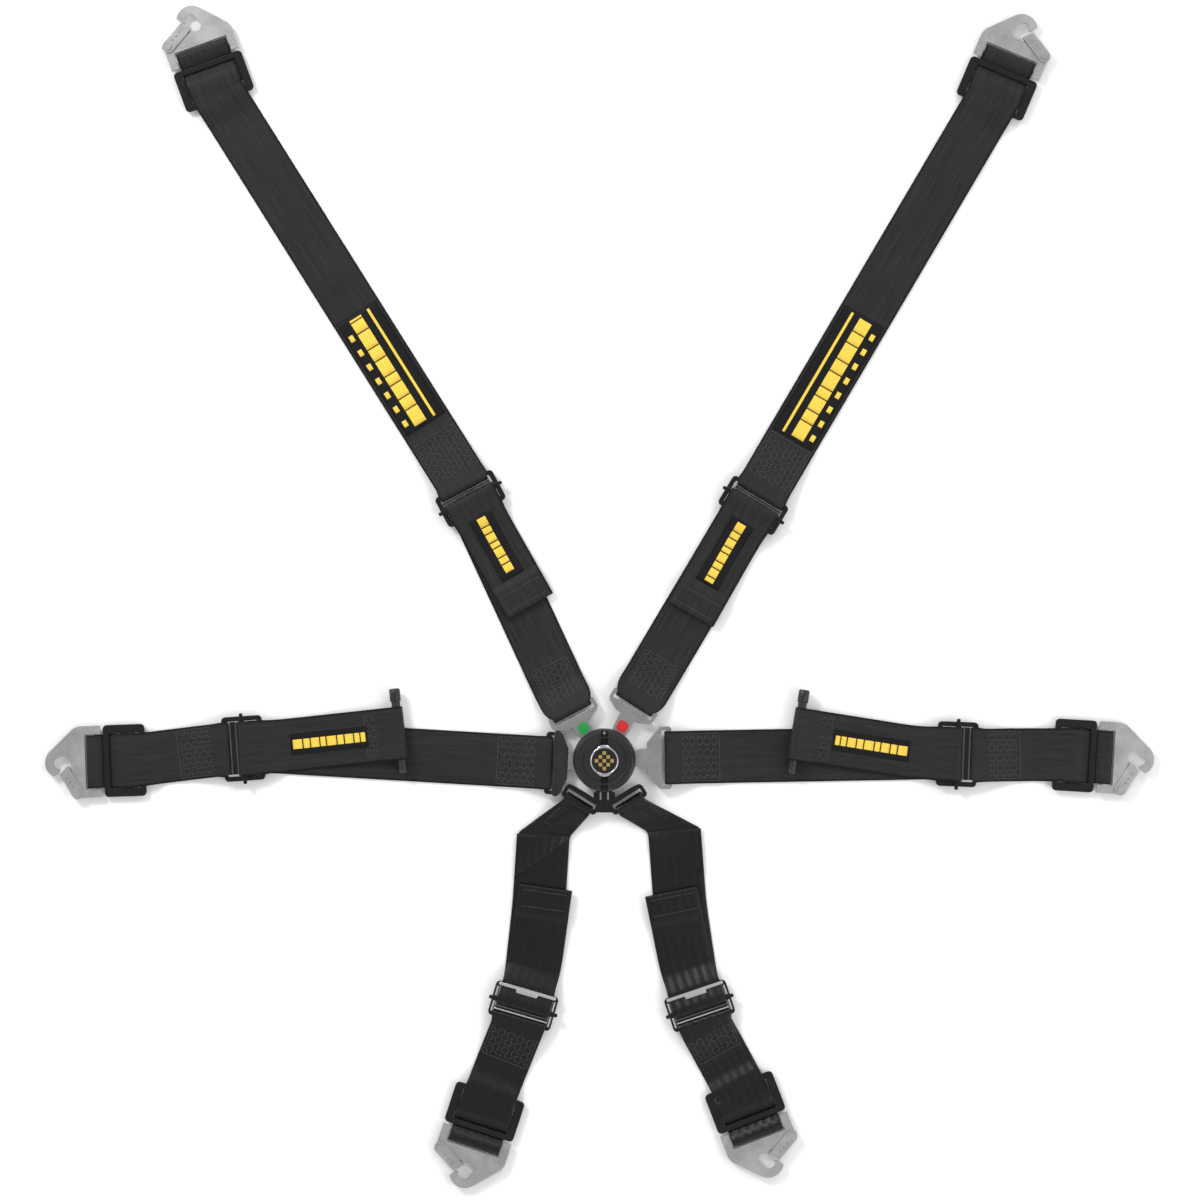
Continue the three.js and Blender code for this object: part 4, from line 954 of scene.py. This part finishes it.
def pull_rod(arm):
    """A knurled plastic rod with a smooth cap, across the end of a lap strap's tail."""
    up = 1 if arm.name == "lap_left" else -1
    axis = heading_vector(arm.spec["tail"][0] + 90) * up
    side = Vector((-axis.y, axis.x))
    middle = arm.tail_end + axis * 2.5
    low, neck, high = -ROD_HALF, ROD_HALF - ROD_CAP, ROD_HALF
    rings = [(low, 0.01), (low, ROD_RADIUS - 1.4), (low + 0.5, ROD_RADIUS - 0.4), (low + 1.4, ROD_RADIUS)]
    rings += [(low + 1.4 + (neck - low - 2.4) * i / ROD_RINGS, ROD_RADIUS) for i in range(1, ROD_RINGS)]
    rings += [(neck - 0.8, ROD_RADIUS), (neck, ROD_RADIUS - 0.5), (neck + 0.1, CAP_RADIUS - 0.5),
              (neck + 0.6, CAP_RADIUS), (high - 1.2, CAP_RADIUS), (high - 0.3, CAP_RADIUS - 0.7),
              (high, CAP_RADIUS - 1.8), (high, 0.01)]
    vertices = []
    for y, radius in rings:
        knurled = low + 2.5 < y < neck - 1.5
        for k in range(ROD_SIDES):
            angle = 2 * math.pi * k / ROD_SIDES
            turn, run = KNURL_TURNS * angle, y * 0.9
            depth = abs(math.sin(turn + run)) + abs(math.sin(turn - run)) if knurled else 0
            reach = radius - KNURL_DEPTH * depth
            flat = middle + axis * y + side * reach * math.cos(angle)
            vertices.append((flat.x, flat.y, ROD_Z + reach * math.sin(angle)))
    faces = walls(len(rings), ROD_SIDES)
    made = to_object(f"{arm.name}_pull_rod_knurled", vertices, faces, "black_plastic")
    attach(made, arm.free)
    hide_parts(f"{arm.name}_pull_rod")


for arm_name in ("lap_left", "lap_right"):
    pull_rod(arms[arm_name])

# ---------------- buckle and tongues

finished("buckle_back_plate", "steel", 0.5)
finished("buckle_housing", "black_steel", 0.5)
finished("latch_plate", "steel", 0.2)
finished("release_knob", "knob", 0.5, 3)
for tongue in ("shoulder_left", "shoulder_right", "lap_right"):
    finished(tongue + "_tongue", "steel", 0.5)
for tongue in ("lap_left", "crotch"):
    finished(tongue + "_tongue", "black_steel", 0.5)
spring = frame["nodes"]["return_spring"]
spring.data.materials.clear()
spring.data.materials.append(M["steel"])

FACE = KNOB_TOP + 0.3  # of the medallion
DISC = 12.1
CELL, CELL_HALF = 3.7, 1.7  # the chequer's pitch and half a square
NOTCH_FLOOR = KNOB_TOP - 3.1


def pointed(base):
    """A bezel's radius that swells to a point at the top and at the bottom."""
    return lambda angle: base + 1.6 * max(0, abs(math.sin(math.radians(angle))) - 0.86) / 0.14


def on_tongue(outline, rise, at=(0, 0), heading=0.0, sunk=0.1, **edge):
    """A raised detail on a tongue's top."""
    return prism(outline, TONGUE_TOP - sunk, TONGUE_TOP + rise, at, heading, **edge)


# medallion: a pointed chrome bezel round black enamel, with a chequer of plain gold squares
turned("knob_bezel", [
    (pointed(13.5), FACE - 0.2), (pointed(13.6), FACE + 0.4), (pointed(13.3), FACE + 0.9),
    (12.8, FACE + 1.05), (DISC, FACE + 0.6), (12.0, FACE - 0.2)], "blue_chrome", 120)
turned("knob_disc", [(DISC, FACE - 0.1), (DISC, FACE + 0.35), (11.4, FACE + 0.45), (4, FACE + 0.6),
                     (0.01, FACE + 0.62)], "enamel", 72, close=False)
cells = [(u * CELL, v * CELL) for u in range(-2, 3) for v in range(-2, 3)
         if (u + v) % 2 == 0 and abs(u) + abs(v) < 4]
squares = [rectangle(x - CELL_HALF, x + CELL_HALF, y - CELL_HALF, y + CELL_HALF, 0.5) for x, y in cells]
detail("knob_gold_marks", [prism(square, FACE + 0.3, FACE + 0.95, bevel=0.2) for square in squares],
       "gold", "knob", "knob")
turned("knob_ridge", [(21.8, KNOB_TOP - 0.1), (21.9, KNOB_TOP + 0.25), (22.3, KNOB_TOP + 0.4),
                      (22.7, KNOB_TOP + 0.25), (22.8, KNOB_TOP - 0.1)], "knob", 120)
# thin near-black matte floors laid in the knob's two notches: painted shade at the bottom of the recesses
notch = rectangle(15.4, 28.6, -3.4, 3.4, 0.5)
floors = [prism(notch, NOTCH_FLOOR, NOTCH_FLOOR + 0.4, heading=way) for way in (90, 270)]
detail("knob_notch_floors", floors, "notch", "knob", "knob")
detail("knob_rivet", [prism(circle(1.4, (0, 26.2), 20), NOTCH_FLOOR, NOTCH_FLOOR + 1.3, bevel=0.4)],
       "steel", "knob", "knob")

# coloured dots pressed into the shoulder tongues' necks
for arm_name, colour in (("shoulder_left", "green"), ("shoulder_right", "red")):
    dot = rectangle(30.9, 41.7, -5.3, 5.3, 3.2, 6)
    detail(f"{arm_name}_dot", [on_tongue(dot, 0.45, heading=ARMS[arm_name]["bar"][1], sunk=0.2)], colour,
           "steel_tongue", arm_name + "_end")

# the black cover moulded over the left lap tongue, its neck, and the ribs on the crotch tongue
radius, angle, lap_heading = ARMS["lap_left"]["bar"]
lap_at = polar(radius, angle)
COVER = [(-4.8, -29.5), (-4.8, 29.5), (-6.6, 31.4), (-9.6, 31.6), (-13.4, 28), (-18.4, 15.5), (-19, 8),
         (-19, -8), (-18.4, -15.5), (-13.4, -28), (-9.6, -31.6), (-6.6, -31.4)]
COVER_RIDGE = [(-6.6, -27), (-5, -27), (-5.6, -12), (-5.6, 12), (-5, 27), (-6.6, 27), (-7.6, 12),
               (-7.6, -12)]
detail("lap_left_cover", [on_tongue(COVER, 1.5, lap_at, lap_heading, bevel=0.8, segments=3),
                          on_tongue(COVER_RIDGE, 2.6, lap_at, lap_heading, -1.4, bevel=0.5, segments=3)],
       "black_plastic", "black_tongue", "buckle")
detail("lap_left_neck", [on_tongue(rectangle(-4.5, 4.5, -8, 8, 1), 0.5, polar(33, angle), angle)], "steel",
       "black_tongue", "buckle")
detail("crotch_ribs", [on_tongue(rectangle(-38.5, -30.8, v - 0.8, v + 0.8, 0.7), 0.7, heading=90)
                       for v in (-3.6, 3.6)], "steel", "black_tongue", "crotch_end")

# ---------------- stage

FLOOR, FLOOR_Z = 25, -0.0006  # metres
LIT = Vector((0, 0.15, 0))  # the point the lights face
floor_mesh = bpy.data.meshes.new("floor")
corners = ((-1, -1), (1, -1), (1, 1), (-1, 1))
floor_mesh.from_pydata([(x * FLOOR, y * FLOOR, FLOOR_Z) for x, y in corners], [], [(0, 1, 2, 3)])
floor = in_scene("floor", floor_mesh)
paper = Nodes("pale_floor", Specular_IOR_Level=0.1)
floor_mesh.materials.append(paper.finish(
    paper.mix(paper.noise(paper.place(), 3.0), grey(0.93), grey(0.95)), 0.9))

# an even white studio, a little brighter near the horizon than overhead
world = bpy.data.worlds.new("studio")
world.use_nodes = True
sky = world.node_tree.nodes
sky["Background"].inputs[0].default_value = (1, 1, 1, 1)
height = sky.new("ShaderNodeSeparateXYZ")
world.node_tree.links.new(sky.new("ShaderNodeTexCoord").outputs["Generated"], height.inputs[0])
fade = sky.new("ShaderNodeMapRange")
for socket, value in (("From Min", 0.15), ("From Max", 0.95), ("To Min", 1.15), ("To Max", 0.58)):
    fade.inputs[socket].default_value = value
world.node_tree.links.new(height.outputs[2], fade.inputs["Value"])
world.node_tree.links.new(fade.outputs["Result"], sky["Background"].inputs[1])
bpy.context.scene.world = world
bpy.context.scene.view_settings.view_transform = "Standard"


def area_light(name, place, size, power):
    light = bpy.data.lights.new(name, "AREA")
    light.shape, light.size, light.energy = "DISK", size, power
    made = in_scene(name, light)
    made.location = place
    made.rotation_euler = (LIT - Vector(place)).to_track_quat("-Z", "Y").to_euler()


area_light("key", (-1.9, 2.2, 2.1), 0.8, 52)
area_light("fill", (2.3, -0.9, 2.2), 1.6, 22)
area_light("rim", (1.2, 2.6, 2.0), 1.0, 16)

camera = in_scene("camera", bpy.data.cameras.new("camera"))
camera.data.lens, camera.data.sensor_width = 100, 36
camera.location = (-0.0041, 0.153, 3.2)
camera.data.clip_end = 20
bpy.context.scene.camera = camera
